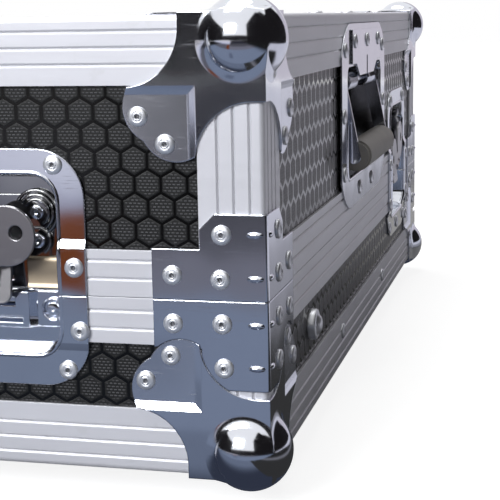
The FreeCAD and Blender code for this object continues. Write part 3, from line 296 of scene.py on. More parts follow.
# Painted shade: the grey, and the openness range over which it darkens the edging's narrow grooves
GROOVE_SHADE, GROOVE_SHADE_FROM, GROOVE_REACH = grey(0.16), (0.45, 0.85), 1.0
TRIM_EDGE, PLATE_EDGE = 0.4, 0.8
PLATE_SCALE, WAVE_SCALE, WAVE_STRENGTH = 35.0, 28.0, 0.6
SCRATCH_SCALE, SCRATCH_STRETCH, SCRATCH_FROM, SCRATCH_DULLER = 700.0, (0.08, 1.0, 1.0), (0.60, 0.75), 0.08
TAB_FROM_EDGE, TAB_SLACK, TAB_DULLER = 34.0, 0.8, 0.10
SUNK_FROM = (3.0, 9.0)
BRIGHT = (0.80, 0.82, 0.88, 1.0), (0.70, 0.72, 0.79, 1.0)
DRAWN = (0.78, 0.80, 0.85, 1.0), (0.68, 0.70, 0.76, 1.0)
DULL = (0.45, 0.44, 0.455, 1.0), (0.32, 0.315, 0.33, 1.0)
PALE = (0.86, 0.87, 0.90, 1.0), (0.74, 0.75, 0.79, 1.0)
SHADED = (0.42, 0.42, 0.44, 1.0), (0.26, 0.26, 0.28, 1.0)
YELLOWED = (0.52, 0.43, 0.32, 1.0), (0.30, 0.245, 0.175, 1.0)


def aluminium():
    """Satin anodised extrusion with faint drawn streaks, handling marks and painted shade in its grooves."""
    graph = Graph("anodised_edging", Metallic=0.35)
    streak = graph.noise(STREAK_SCALE, stretch=STREAK_STRETCH)
    worn = graph.step(graph.noise(WORN_SCALE, detail=5.0), *WORN_FROM)
    tone = graph.mix(graph.noise(ANODISED_SCALE, detail=4.0), *ANODISED)
    tone = graph.mix(graph.math("MULTIPLY", worn, WORN_SHARE), tone, WORN)
    # Painted shade darkens the narrow grooves, by how open the surface is around them
    unshaded = graph.step(graph.openness(GROOVE_REACH * MM), *GROOVE_SHADE_FROM)
    graph.give("Base Color", graph.mix(unshaded, GROOVE_SHADE, tone))
    graph.give("Roughness", graph.between(streak, *ANODISED_ROUGH))
    graph.bump(streak, STREAK_RISE * MM, STREAK_STRENGTH, edge=TRIM_EDGE * MM)
    return graph.material


def tab_share(graph):
    """1 on the ball corners' lowered tabs, which are pressed duller than the rest."""
    axes = graph.axes()

    def near(axis, middle):
        away = graph.math("ABSOLUTE", graph.math("SUBTRACT", graph.math("ABSOLUTE", axes[axis]), middle * MM))
        return graph.math("LESS_THAN", away, TAB_SLACK * MM)

    def inside(axis, edge):
        return graph.math("LESS_THAN", graph.math("ABSOLUTE", axes[axis]), edge * MM)

    front = graph.math("MULTIPLY", near("y", HALF_DEPTH - TAB_DEPTH), inside("x", HALF_WIDTH - TAB_FROM_EDGE))
    side = graph.math("MULTIPLY", near("x", HALF_WIDTH - TAB_DEPTH), inside("y", HALF_DEPTH - TAB_FROM_EDGE))
    return graph.math("MAXIMUM", front, side)


def sunk_shade_share(graph):
    """1 on the lid's tubs well below the case's faces, where little light reaches; there the plate's colour is
    darkened as painted shade.
    """
    axes = graph.axes()
    below_front = graph.math("SUBTRACT", HALF_DEPTH * MM, graph.math("ABSOLUTE", axes["y"]))
    below_side = graph.math("SUBTRACT", HALF_WIDTH * MM, graph.math("ABSOLUTE", axes["x"]))
    sunk = graph.step(graph.math("MINIMUM", below_front, below_side), *(depth * MM for depth in SUNK_FROM))
    return graph.math("MULTIPLY", sunk, graph.math("GREATER_THAN", axes["z"], SEAM * MM))


def plated(name, colours, rough, wave, metallic=1.0, tabs=False, sunk_shade=None):
    """Plate on pressed sheet, with slow waves, faint clouds and fine scratches.

    The wave is in millimetres, and the last argument is the grey of painted shade on the lid's parts that are
    sunk below the case's faces.
    """
    graph = Graph(name, Metallic=metallic)
    cloud = graph.noise(PLATE_SCALE, detail=4.0)
    scratch = graph.step(graph.noise(SCRATCH_SCALE, stretch=SCRATCH_STRETCH), *SCRATCH_FROM)
    colour = graph.mix(cloud, *colours)
    # Painted shade on the lid's sunk parts
    if sunk_shade:
        colour = graph.mix(sunk_shade_share(graph), colour, grey(sunk_shade))
    graph.give("Base Color", colour)
    roughness = graph.math("MULTIPLY_ADD", scratch, SCRATCH_DULLER, graph.between(cloud, *rough))
    if tabs:
        roughness = graph.math("MULTIPLY_ADD", tab_share(graph), TAB_DULLER, roughness)
    graph.give("Roughness", roughness)
    graph.bump(graph.noise(WAVE_SCALE, detail=1.0), wave * MM, WAVE_STRENGTH, edge=PLATE_EDGE * MM)
    return graph.material


# Rubber and foam

RUBBER_SCALE, RUBBER_ROUGH, RUBBER_PALER = 60.0, (0.50, 0.68), 1.6
GRAIN_SCALE, GRAIN_RISE, GRAIN_STRENGTH = 1400.0, 0.08, 0.6
FOAM_SCALE, FOAM_DARK, FOAM_LIGHT = 25.0, grey(0.030), grey(0.050)
# The pores' darker grey is painted shade.
PORE_SCALE, PORE_FROM, PORE_SHADE, PORE_RISE, PORE_STRENGTH = 900.0, (0.55, 0.15), grey(0.010), 0.5, 0.8


def rubber(name, level):
    """Matt rubber with a fine grain."""
    graph = Graph(name, IOR=1.5)
    grain = graph.cells(GRAIN_SCALE)
    cloud = graph.noise(RUBBER_SCALE, detail=3.0)
    graph.give("Base Color", graph.mix(cloud, grey(level, warm=0.05), grey(level * RUBBER_PALER, warm=0.06)))
    graph.give("Roughness", graph.between(cloud, *RUBBER_ROUGH))
    graph.bump(grain, GRAIN_RISE * MM, GRAIN_STRENGTH)
    return graph.material


def foam_stuff():
    """Dull dark foam with its pores painted darker as shade."""
    graph = Graph("dark_foam", Roughness=0.95)
    pores = graph.cells(PORE_SCALE)
    tone = graph.mix(graph.noise(FOAM_SCALE, detail=4.0), FOAM_DARK, FOAM_LIGHT)
    graph.give("Base Color", graph.mix(graph.step(pores, *PORE_FROM), tone, PORE_SHADE))
    graph.bump(pores, PORE_RISE * MM, PORE_STRENGTH)
    return graph.material


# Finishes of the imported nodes

LAMINATES = {
    "front": laminate("laminate_front", "x", "z"),
    # The side's pale groove tone is a painted sheen on its grooves.
    "side": laminate("laminate_side", "y", "z", groove=SIDE_GROOVE, gloss=SIDE_GROOVE, groove_shade_and_sheen=0.05,
                     cell_rough=0.42, groove_rough=0.05, sheen=0.80),
    "flat": laminate("laminate_flat", "x", "y"),
}
LAMINATE_OF = {"front": "front", "back": "front", "left": "side", "right": "side"}
ALUMINIUM = aluminium()
CHROME = plated("bright_plate", BRIGHT, rough=(0.07, 0.14), wave=0.5)
# The greys given for the lid's sunk parts are painted shade.
DISH = plated("drawn_plate", DRAWN, rough=(0.05, 0.11), wave=0.6, sunk_shade=0.32)
TUB = plated("tub_plate", DRAWN, rough=(0.08, 0.16), wave=0.6, sunk_shade=0.16)
SATIN = plated("satin_plate", DULL, rough=(0.22, 0.36), wave=0.2)
RIVET = plated("rivet_plate", PALE, rough=(0.34, 0.46), wave=0.1, metallic=0.85)
# The rivets' bores get this darker plate as painted shade.
BORE_SHADE = plated("rivet_bore", SHADED, rough=(0.34, 0.50), wave=0.1)
BRASS = plated("brass_strip", YELLOWED, rough=(0.36, 0.50), wave=0.2)
CORNER = plated("corner_plate", BRIGHT, rough=(0.07, 0.14), wave=0.5, tabs=True)
RUBBER = rubber("black_rubber", level=0.022)
GRIP = rubber("grip_rubber", level=0.25)
FOAM = foam_stuff()


def finish_for(name):
    """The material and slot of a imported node, by its name."""
    if name.endswith("_panel"):
        side = name.split("_")[1]
        return LAMINATES[LAMINATE_OF.get(side, "flat")], "laminate_panel"
    if name.endswith("_trims"):
        return ALUMINIUM, "anodised_edging"
    if name == "rubber_feet":
        return RUBBER, "black_rubber"
    if name.startswith("handle_grip"):
        return GRIP, "black_rubber"
    if name.endswith("_foam"):
        return FOAM, "dark_foam"
    if "_hub_" in name or "_wing_" in name or "_hook_" in name:
        return SATIN, "plated_steel"
    if "latch" in name:
        return DISH, "plated_steel"
    if name == "handle_dishes":
        return TUB, "plated_steel"
    if "ball_corner" in name:
        return CORNER, "plated_steel"
    return CHROME, "plated_steel"


for name, thing in nodes.items():
    finish, slot_name = finish_for(name)
    thing.data.materials.clear()
    thing.data.materials.append(finish)


# Mesh helpers

SHARP = math.radians(35)


def new_piece(name, source, material, body):
    """A named piece from a bmesh, which rides on a body."""
    bmesh.ops.recalc_face_normals(source, faces=source.faces)
    mesh = bpy.data.meshes.new(name)
    source.to_mesh(mesh)
    source.free()
    mesh.polygons.foreach_set("use_smooth", [True] * len(mesh.polygons))
    mesh.set_sharp_from_angle(angle=SHARP)
    piece = bpy.data.objects.new(name, mesh)
    scene.collection.objects.link(piece)
    mesh.materials.append(material)
    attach(piece, body)
    return piece


def circle(count):
    """The angles of a whole turn."""
    return [2 * math.pi * step / count for step in range(count)]


def skin(target, first, second):
    """Faces between two closed rings that have equally many points."""
    for index in range(len(first)):
        after = (index + 1) % len(first)
        target.faces.new((first[index], first[after], second[after], second[index]))


def revolved(target, profile, matrix, segments=20):
    """Adds a turned form; its profile is (radius, height) pairs from the bottom up to the axis."""
    rings = [[target.verts.new(matrix @ Vector((radius * math.cos(angle), radius * math.sin(angle), height)))
              for angle in circle(segments)] for radius, height in profile[:-1]]
    for lower, upper in zip(rings, rings[1:]):
        skin(target, lower, upper)
    crown = target.verts.new(matrix @ Vector((0, 0, profile[-1][1])))
    last = rings[-1]
    for index in range(segments):
        target.faces.new((last[index], last[(index + 1) % segments], crown))
    target.faces.new(list(reversed(rings[0])))


def facing(place, normal):
    """A matrix in metres that stands on a place in millimetres, with its Z axis along a normal."""
    turn = Vector(normal).to_track_quat("Z", "Y").to_matrix()
    return Matrix.Translation(Vector(place) * MM) @ turn.to_4x4()


SLANTED_UP, PARALLEL = Vector((0.13, 0.21, 0.97)), 1e-4


def tube(target, points, radius, segments=8):
    """Adds a round closed tube along points, in metres. It starts from an up that no wire here runs along."""
    rings = []
    up = SLANTED_UP
    for index, point in enumerate(points):
        before, after = points[max(index - 1, 0)], points[min(index + 1, len(points) - 1)]
        ahead = (after - before).normalized()
        side = ahead.cross(up)
        side = side.normalized() if side.length > PARALLEL else ahead.orthogonal().normalized()
        up = side.cross(ahead).normalized()
        ring = [point + side * radius * math.cos(angle) + up * radius * math.sin(angle)
                for angle in circle(segments)]
        rings.append([target.verts.new(place) for place in ring])
    for first, second in zip(rings, rings[1:]):
        skin(target, first, second)
    target.faces.new(rings[0])
    target.faces.new(list(reversed(rings[-1])))


def on_face(side, along, x, y, z):
    """Case coordinates and outward normal of a point that is given in a face's own frame.

    There x runs along the face from a middle, y goes into the case and z is the height over the seam.
    """
    if side == "front":
        return (along + x, y - HALF_DEPTH, SEAM + z), (0, -1, 0)
    if side == "right":
        return (HALF_WIDTH - y, along + x, SEAM + z), (1, 0, 0)
    return (y - HALF_WIDTH, along - x, SEAM + z), (-1, 0, 0)


def face_point(side, along, x, y, z):
    """A point that is given in a face's own frame, as a vector in metres."""
    return Vector(on_face(side, along, x, y, z)[0]) * MM


# Rivets

DOME = ((4.6, -0.2), (4.6, 0.5), (4.4, 0.8), (3.5, 1.2), (2.5, 1.36), (2.35, 1.16), (2.0, 1.16), (1.85, 1.44),
        (1.3, 1.48), (1.15, 1.2), (1.1, 0.5), (0, 0.4))
DOME_BORE = ((1.14, 0.85), (0.8, 0.7), (0.45, 0.95), (0, 1.0))
FLAT_HEAD = ((3.6, -0.2), (3.6, 0.2), (3.2, 0.7), (2.2, 0.95), (1.1, 1.0), (0.9, 0.75), (0, 0.72))
TAB_SPOTS = ((58.3, 44.8), (45.8, 57.2))
LID_BRACE_SPOTS = ((20.1, 30.2), (43.6, 11.2), (21.0, 9.7))
BASE_BRACE_SPOTS = ((43.8, -11.1), (20.5, -10.7), (20.0, -31.4))
FLANGE_LOW, FLANGE_HIGH = 0.4, -1.2
LATCH_LID_SPOTS = ((37.3, 61.3, FLANGE_LOW), (46.3, 13.5, FLANGE_HIGH))
LATCH_BASE_SPOTS = ((40.9, -36.1, FLANGE_LOW), (48.1, -16.7, FLANGE_HIGH))
LATCH_FOOT_SPOT = -37.0
SPRING_BOSS, PIN_BOSS, BASE_BOSS = (24.0, 37.5), (24.0, 23.7), (30.5, -9.2)
SMALL_RIVET_DEPTH = 10.8
HANDLE_SPOTS = ((85.0, 67.0), (80.0, 106.0), (84.0, 32.0), (26.0, 17.5))
HOOD_SPOTS, HOOD_SPOTS_UP = (-50.0, 0.0, 50.0), 111.0
HANDLE_FACE, HOOD_FACE = -1.2, -2.4
EDGE_MIDDLE = 20.7
FRONT_EDGE_SPOTS, TOP_SIDE_SPOTS, BASE_SIDE_SPOT = (88.0, 264.0), (60.0, 205.0), 88.0


def corner_rivets(lid):
    """Places and normals of the rivets on the ball corners' tabs and on the braces of one half."""
    edge_z, towards = (TOP, -1) if lid else (BOTTOM, 1)
    seam = SEAM + SEAM_GAP if lid else SEAM
    found = []
    for sx, sy in CORNERS:
        for u, v in TAB_SPOTS:
            z = edge_z + towards * v
            found.append(((sx * (HALF_WIDTH - u), sy * (HALF_DEPTH - TAB_DEPTH), z), (0, sy, 0)))
            found.append(((sx * (HALF_WIDTH - TAB_DEPTH), sy * (HALF_DEPTH - u), z), (sx, 0, 0)))
            found.append(((sx * (HALF_WIDTH - u), sy * (HALF_DEPTH - v), edge_z + towards * TAB_DEPTH),
                          (0, 0, -towards)))
        for u, v in LID_BRACE_SPOTS if lid else BASE_BRACE_SPOTS:
            found.append(((sx * (HALF_WIDTH - u), sy * (HALF_DEPTH + BRACE_PROUD), seam + v), (0, sy, 0)))
            found.append(((sx * (HALF_WIDTH + BRACE_PROUD), sy * (HALF_DEPTH - u), seam + v), (sx, 0, 0)))
    return found


def latch_rivets(lid):
    """Rivets on the flanges of the latch dishes."""
    found = []
    for side, along in LATCHES:
        for x, z, y in LATCH_LID_SPOTS if lid else LATCH_BASE_SPOTS:
            found += [on_face(side, along, sign * x, y, z) for sign in SIGNS]
        if not lid:
            found.append(on_face(side, along, 0, FLANGE_LOW, LATCH_FOOT_SPOT))
    return found


def latch_small_rivets(lid):
    """Small rivets in the middle of the latches' ring bosses."""
    return [on_face(side, along, sign * x, SMALL_RIVET_DEPTH, z) for side, along in LATCHES
            for x, z in ((SPRING_BOSS, PIN_BOSS) if lid else (BASE_BOSS,)) for sign in SIGNS]


def handle_rivets():
    """Rivets on the handle dishes' flanges and on the hoods."""
    found = []
    for side in ("left", "right"):
        for x, z in HANDLE_SPOTS:
            found += [on_face(side, 0.0, sign * x, HANDLE_FACE, z) for sign in SIGNS]
        found += [on_face(side, 0.0, x, HOOD_FACE, HOOD_SPOTS_UP) for x in HOOD_SPOTS]
    return found


def edge_rivets(lid):
    """Rivets through the edge extrusions, along their middle."""
    found = []
    face_z, towards = (TOP, 1) if lid else (BOTTOM, -1)
    z = face_z - towards * EDGE_MIDDLE
    for sx, sy in CORNERS:
        if not lid:
            found.append(((sx * HALF_WIDTH, sy * BASE_SIDE_SPOT, z), (sx, 0, 0)))
        for x in FRONT_EDGE_SPOTS:
            found.append(((sx * x, sy * HALF_DEPTH, z), (0, sy, 0)))
            found.append(((sx * x, sy * (HALF_DEPTH - EDGE_MIDDLE), face_z), (0, 0, towards)))
        for y in TOP_SIDE_SPOTS:
            found.append(((sx * (HALF_WIDTH - EDGE_MIDDLE), sy * y, face_z), (0, 0, towards)))
    return found


def turned_piece(name, profile, spots, body, material, segments=20):
    """One piece of equal turned forms, one at each spot."""
    made = bmesh.new()
    shape = [(radius * MM, height * MM) for radius, height in profile]
    for place, normal in spots:
        revolved(made, shape, facing(place, normal), segments)
    new_piece(name, made, material, body)


def rivets(body):
    """The rivets of one half, their bores painted dark as shade, and the small rivets in its latches."""
    lid = body == "lid"
    spots = corner_rivets(lid) + latch_rivets(lid) + edge_rivets(lid)
    if lid:
        spots += handle_rivets()
    turned_piece(body + "_rivets", DOME, spots, body, RIVET)
    turned_piece(body + "_rivet_bores", DOME_BORE, spots, body, BORE_SHADE)
    turned_piece(body + "_latch_rivets", FLAT_HEAD, latch_small_rivets(lid), body, CHROME)


for body in ("base", "lid"):
    rivets(body)


# Pressed darts across the braces' bends

DART_LEVELS = {"base": (-11.0, -31.0), "lid": (30.3, 10.3)}
DART_FROM_EDGE, DART_HALF_LONG, DART_HALF_TALL, DART_HIGH = 4.6, 4.2, 1.7, 1.6
DART_SUNK_SHARE, DART_STEPS = 0.3, 7


def dart(target, place, normal, along):
    """A low pressed rib, long along the face and tapering at both ends."""
    turned = Matrix((along, normal.cross(along), normal)).transposed().to_4x4()
    scale = Matrix.Diagonal((DART_HALF_LONG * MM, DART_HALF_TALL * MM, DART_HIGH * MM, 1.0))
    angles = [step * math.pi / 2 / DART_STEPS for step in range(DART_STEPS)]
    profile = [(math.cos(angle), math.sin(angle) - DART_SUNK_SHARE) for angle in angles]
    profile.append((0, 1 - DART_SUNK_SHARE))
    revolved(target, profile, Matrix.Translation(Vector(place) * MM) @ turned @ scale)


def brace_darts(body):
    """The darts of one half, on both faces of each corner's brace."""
    made = bmesh.new()
    seam = SEAM + SEAM_GAP if body == "lid" else SEAM
    for sx, sy in CORNERS:
        for level in DART_LEVELS[body]:
            front = (sx * (HALF_WIDTH - DART_FROM_EDGE), sy * (HALF_DEPTH + BRACE_PROUD), seam + level)
            side = (sx * (HALF_WIDTH + BRACE_PROUD), sy * (HALF_DEPTH - DART_FROM_EDGE), seam + level)
            dart(made, front, Vector((0, sy, 0)), Vector((1, 0, 0)))
            dart(made, side, Vector((sx, 0, 0)), Vector((0, 1, 0)))
    new_piece(body + "_brace_darts", made, CHROME, body)


for body in ("lid", "base"):
    brace_darts(body)


# Rolled rims of the dishes, ring bosses and brass strips

LATCH_OPENING, LATCH_OPEN_DOWN, LATCH_OPEN_UP = (38.5, 13.0), -29.5, 57.2
HANDLE_OPENING, HANDLE_OPEN_TOP, HANDLE_OPEN_DOWN = (73.0, 7.0), 61.0, 27.0
FLANGE_STEP_FROM, FLANGE_STEP_RUN = 22.0, 4.0
LOOP_SIDE_STEPS, LOOP_ARC_STEPS, WIRE_STEPS = 24, 8, 16
RIM_BEAD = ((1.5, 0.15), (1.1, -0.35), (0.5, -0.60), (0.0, -0.55), (-0.5, -0.20), (-0.9, 0.5), (-1.0, 1.8),
            (-0.2, 1.8), (0.2, 0.8), (1.4, 0.6))
BASE_RING, BASE_RING_WIRE, BASE_RING_DEPTH = 5.3, 0.5, 9.6
SPRING_RINGS, PIN_RING, RING_WIRE, RING_DEPTH = (6.2, 8.4, 10.6), 6.4, 0.8, 10.4
RING_ENDS = {1: (-60, 150), -1: (240, 30)}
STRIP_THICK, STRIP_FROM, STRIP_TO = 0.6, 18.4, 35.2
STRIP_PATH = ((16.4, 10.4), (15.6, 9.7), (13.8, 9.5), (9.0, 9.6), (3.6, 9.5), (2.2, 9.2), (1.4, 8.4))


def flange_depth(z):
    """Depth of the latch flange's face, which steps out over the rims."""
    share = min(max((abs(z) - FLANGE_STEP_FROM) / FLANGE_STEP_RUN, 0.0), 1.0)
    return FLANGE_HIGH + (FLANGE_LOW - FLANGE_HIGH) * share


def open_loop(half_x, near, far, radius, out):
    """A rounded opening's edge from its near end round its far end and back, grown by a margin."""
    way = 1 if far > near else -1
    turn = far - way * radius
    leg = [(half_x + out, near + (turn - near) * step / LOOP_SIDE_STEPS) for step in range(LOOP_SIDE_STEPS)]
    arc = []
    for step in range(LOOP_ARC_STEPS + 1):
        angle = math.radians(90.0 * step / LOOP_ARC_STEPS)
        arc.append((half_x - radius + (radius + out) * math.cos(angle),
                    turn + way * (radius + out) * math.sin(angle)))
    half = leg + arc
    return half + [(-x, z) for x, z in reversed(half)]


def rolled_rim(target, side, along, near, far, opening, depth_at):
    """A rolled edge round an opening: the bead's section carried along the opening's edge."""
    half_x, radius = opening
    rings = [[target.verts.new(face_point(side, along, x, depth_at(z) + rise, z))
              for x, z in open_loop(half_x, near, far, radius, out)] for out, rise in RIM_BEAD]
    last = len(rings[0]) - 1
    for first, second in zip(rings, rings[1:] + rings[:1]):
        for index in range(last):
            target.faces.new((first[index], first[index + 1], second[index + 1], second[index]))
    for index in (0, last):
        target.faces.new([ring[index] for ring in rings])


def arc_wire(target, side, along, centre, depth, radius, wire, ends):
    """A round wire arc that lies on a dish's floor."""
    start, end = ends
    points = []
    for step in range(WIRE_STEPS + 1):
        angle = math.radians(start + (end - start) * step / WIRE_STEPS)
        points.append(face_point(side, along, centre[0] + radius * math.cos(angle), depth,
                                 centre[1] + radius * math.sin(angle)))
    tube(target, points, wire * MM)


def strip(target, side, along, x_ends, path):
    """A thin bent strip of sheet, from (z, depth) points."""
    rows = [[target.verts.new(face_point(side, along, x, depth + offset, z)) for z, depth in path]
            for offset in (0.0, STRIP_THICK) for x in x_ends]
    order = (rows[0], rows[1], rows[3], rows[2])
    for first, second in zip(order, order[1:] + order[:1]):
        for index in range(len(path) - 1):
            target.faces.new((first[index], second[index], second[index + 1], first[index + 1]))
    for index in (0, len(path) - 1):
        target.faces.new([row[index] for row in order])


def base_latch_trim():
    """Rolled rims and ring bosses of the base's latch dishes."""
    rims, bosses = bmesh.new(), bmesh.new()
    for side, along in LATCHES:
        rolled_rim(rims, side, along, 0.0, LATCH_OPEN_DOWN, LATCH_OPENING, flange_depth)
        for sign in SIGNS:
            x, z = BASE_BOSS
            arc_wire(bosses, side, along, (sign * x, z), BASE_RING_DEPTH, BASE_RING, BASE_RING_WIRE, (0, 360))
    new_piece("base_dish_rims", rims, CHROME, "base")
    new_piece("base_latch_bosses", bosses, DISH, "base")


def lid_latch_trim():
    """Rolled rims, ring bosses and brass strips of the lid's latch dishes, and the handle dishes' rims."""
    rims, bosses, strips = bmesh.new(), bmesh.new(), bmesh.new()
    for side, along in LATCHES:
        rolled_rim(rims, side, along, SEAM_GAP, LATCH_OPEN_UP, LATCH_OPENING, flange_depth)
        for sign in SIGNS:
            for (x, z), radii in ((SPRING_BOSS, SPRING_RINGS), (PIN_BOSS, (PIN_RING,))):
                for radius in radii:
                    arc_wire(bosses, side, along, (sign * x, z), RING_DEPTH, radius, RING_WIRE,
                             RING_ENDS[sign])
            strip(strips, side, along, sorted((sign * STRIP_FROM, sign * STRIP_TO)), STRIP_PATH)
    for side in ("left", "right"):
        rolled_rim(rims, side, 0.0, HANDLE_OPEN_TOP, HANDLE_OPEN_DOWN, HANDLE_OPENING, lambda z: HANDLE_FACE)
    new_piece("lid_latch_strips", strips, BRASS, "lid")
    new_piece("lid_dish_rims", rims, CHROME, "lid")
    new_piece("lid_latch_bosses", bosses, DISH, "lid")


base_latch_trim()
lid_latch_trim()


# Caps of the side bolts

CAP = ((8.3, -3.1), (8.3, 0.2), (7.9, 0.9), (6.9, 1.3), (5.9, 1.2), (5.4, 1.6), (4.4, 2.7), (2.8, 3.4),
       (1.4, 3.6), (0, 3.65))
CAP_FROM_FRONT, CAP_UP, CAP_SEGMENTS = 110.0, 48.0, 28
cap_spots = [((sx * BOLT_FACE, CAP_FROM_FRONT - HALF_DEPTH, BOTTOM + CAP_UP), (sx, 0, 0)) for sx in SIGNS]
turned_piece("side_bolt_caps", CAP, cap_spots, "base", RIVET, CAP_SEGMENTS)


# Handle springs

pin_at = next(joint["pos_m"] for joint in frame["joints"] if joint["name"] == "handle_swing_right")
PIN_DEPTH, PIN_UP = round(HALF_WIDTH - pin_at[X] / MM, 1), round(pin_at[Z] / MM - SEAM, 1)
PIN_RADIUS, PIN_ENDS, PIN_SEGMENTS = 2.4, (-61.8, -30.0, 30.0, 61.8), 14
SPRING_FROM, SPRING_TO, SPRING_RADIUS, SPRING_WIRE = 22.0, 54.0, 4.6, 1.1
SPRING_TURNS, TURN_STEPS, SPRING_SEGMENTS = 11, 14, 7


def coil(target, side, sign):
    """A torsion spring round the handle's pin."""
    points = []
    for step in range(SPRING_TURNS * TURN_STEPS + 1):
        share = step / (SPRING_TURNS * TURN_STEPS)
        angle = 2 * math.pi * SPRING_TURNS * share
        points.append(face_point(side, 0.0, sign * (SPRING_FROM + (SPRING_TO - SPRING_FROM) * share),
                                 PIN_DEPTH + SPRING_RADIUS * math.cos(angle),
                                 PIN_UP + SPRING_RADIUS * math.sin(angle)))
    tube(target, points, SPRING_WIRE * MM, SPRING_SEGMENTS)


def handle_springs(side):
    """A handle's pin with its two springs."""
    made = bmesh.new()
    for sign in SIGNS:
        coil(made, side, sign)
    pin = [face_point(side, 0.0, x, PIN_DEPTH, PIN_UP) for x in PIN_ENDS]
    tube(made, pin, PIN_RADIUS * MM, PIN_SEGMENTS)
    new_piece("handle_springs_" + side, made, CHROME, "lid")


for side in ("left", "right"):
    handle_springs(side)


# Foam

CAVITY_HALF_X, CAVITY_HALF_Y, CAVITY_RADIUS, CAVITY_FLOOR = 350.0, 215.0, 18.0, 16.0
NOTCH_HALF_X, NOTCH_END_Y = 60.0, 247.0
QUARTER_STEPS = 6
FOAM_ROUND, FOAM_ROUND_SEGMENTS, FOAM_SHARP = 2.5, 3, math.radians(40)


def cavity_outline():
    """The controller's recess, with finger notches at the back and front, in millimetres."""
    points = []
    notch = [(NOTCH_HALF_X, CAVITY_HALF_Y), (NOTCH_HALF_X, NOTCH_END_Y),
             (-NOTCH_HALF_X, NOTCH_END_Y), (-NOTCH_HALF_X, CAVITY_HALF_Y)]
    for quarter, (sx, sy) in enumerate(((1, 1), (-1, 1), (-1, -1), (1, -1))):
        x, y = sx * (CAVITY_HALF_X - CAVITY_RADIUS), sy * (CAVITY_HALF_Y - CAVITY_RADIUS)
        for step in range(QUARTER_STEPS + 1):
            angle = math.radians(90 * quarter + 90 * step / QUARTER_STEPS)
            points.append((x + CAVITY_RADIUS * math.cos(angle), y + CAVITY_RADIUS * math.sin(angle)))
        if quarter in (0, 2):
            points += [(sx * x, sy * y) for x, y in notch]
    return points


def loop(target, outline, z):
    """The points of a closed outline at a height."""
    return [target.verts.new(Vector((x, y, z)) * MM) for x, y in outline]


def loop_edges(target, ring):
    """The edges round a closed ring of points; those that no face made yet are added."""
    pairs = [(ring[index], ring[(index + 1) % len(ring)]) for index in range(len(ring))]
    return [target.edges.get(pair) or target.edges.new(pair) for pair in pairs]


def soft_edges(piece):
    """Rounds the foam's sharp edges."""
    bevel = piece.modifiers.new("soft_edges", "BEVEL")
    bevel.width = FOAM_ROUND * MM
    bevel.segments = FOAM_ROUND_SEGMENTS
    bevel.limit_method = "ANGLE"
    bevel.angle_limit = FOAM_SHARP


def foam_block(body, inside=None):
    """The foam of one half with rounded edges, and a recess where an inside outline is given."""
    name = body + "_foam"
    (x0, y0, z0), (x1, y1, z1) = [[value / MM for value in corner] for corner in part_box(name)]
    rim = [(x0, y0), (x1, y0), (x1, y1), (x0, y1)]
    made = bmesh.new()
    bottom, crown = loop(made, rim, z0), loop(made, rim, z1)
    skin(made, bottom, crown)
    made.faces.new(list(reversed(bottom)))
    if inside:
        lip, pit = loop(made, inside, z1), loop(made, inside, z0 + CAVITY_FLOOR)
        skin(made, list(reversed(lip)), list(reversed(pit)))
        made.faces.new(pit)
        edges = loop_edges(made, crown) + loop_edges(made, lip)
        bmesh.ops.triangle_fill(made, edges=edges, use_beauty=True)
    else:
        made.faces.new(crown)
    piece = new_piece("soft_" + name, made, FOAM, body)
    soft_edges(piece)
    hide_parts(name)


foam_block("base", cavity_outline())
foam_block("lid")


# Stage: floor, reflection cards, lights and camera, in metres

CAMERA_AT = (0.5574, -0.8509, 0.2261)
AZIMUTH, ELEVATION, ROLL = math.radians(13.62), math.radians(10.23), math.radians(-1.0)
SENSOR, LENS, CLIP_START = 36.0, 93.3, 0.01
FRONT_Y = -HALF_DEPTH * MM
# How far the camera stands before the front face, and the y of its mirror image behind that face
CAMERA_BEFORE = FRONT_Y - CAMERA_AT[Y]
CAMERA_BEHIND = FRONT_Y + CAMERA_BEFORE
FLOOR_REACH, FLOOR_DARK, FLOOR_LIGHT, FLOOR_SCALE = 9.0, grey(0.30), grey(0.34), 3.0
NEAR_GLOW, FAR_GLOW, GLOW_FROM, GLOW_TO = 0.87, 0.98, 0.6, 3.0
WORLD_FILL, COOL_LIGHT, WHITE_LIGHT = 0.11, (0.95, 0.97, 1.0), (1.0, 1.0, 1.0)
CARD_LIFT, CARD_FOOT = 0.002, 0.01


def stage_plane(name, corners, material):
    """A flat piece of the stage, which is no piece of the case."""
    made = bmesh.new()
    made.faces.new([made.verts.new(corner) for corner in corners])
    mesh = bpy.data.meshes.new(name)
    made.to_mesh(mesh)
    made.free()
    plane = bpy.data.objects.new(name, mesh)
    scene.collection.objects.link(plane)
    mesh.materials.append(material)
    return plane


def lying(near, far, z):
    """Corners of a level rectangle from its near left corner to its far right one."""
    (x0, y0), (x1, y1) = near, far
    return [(x0, y0, z), (x1, y0, z), (x1, y1, z), (x0, y1, z)]


def standing(first, last, top):
    """Corners of an upright rectangle over a line on the floor."""
    return [(*first, CARD_FOOT), (*last, CARD_FOOT), (*last, top), (*first, top)]


def floor_stuff():
    """Pale paper: it glows for the camera and for reflections, and keeps the shadow."""
    graph = Graph("pale_floor", Roughness=0.9)
    graph.give("Base Color", graph.mix(graph.noise(FLOOR_SCALE, detail=3.0), FLOOR_DARK, FLOOR_LIGHT))
    graph.give("Emission Color", grey(1.0))
    axes = graph.axes()
    squares = [graph.math("POWER", axes[axis], 2.0) for axis in "xy"]
    away = graph.math("SQRT", graph.math("ADD", *squares))
    glow = graph.between(graph.step(away, GLOW_FROM, GLOW_TO), NEAR_GLOW, FAR_GLOW)
    graph.give("Emission Strength", graph.math("MULTIPLY", graph.shown(), glow))
    return graph.material


stage_plane("floor", lying((-FLOOR_REACH, -FLOOR_REACH), (FLOOR_REACH, FLOOR_REACH), 0), floor_stuff())


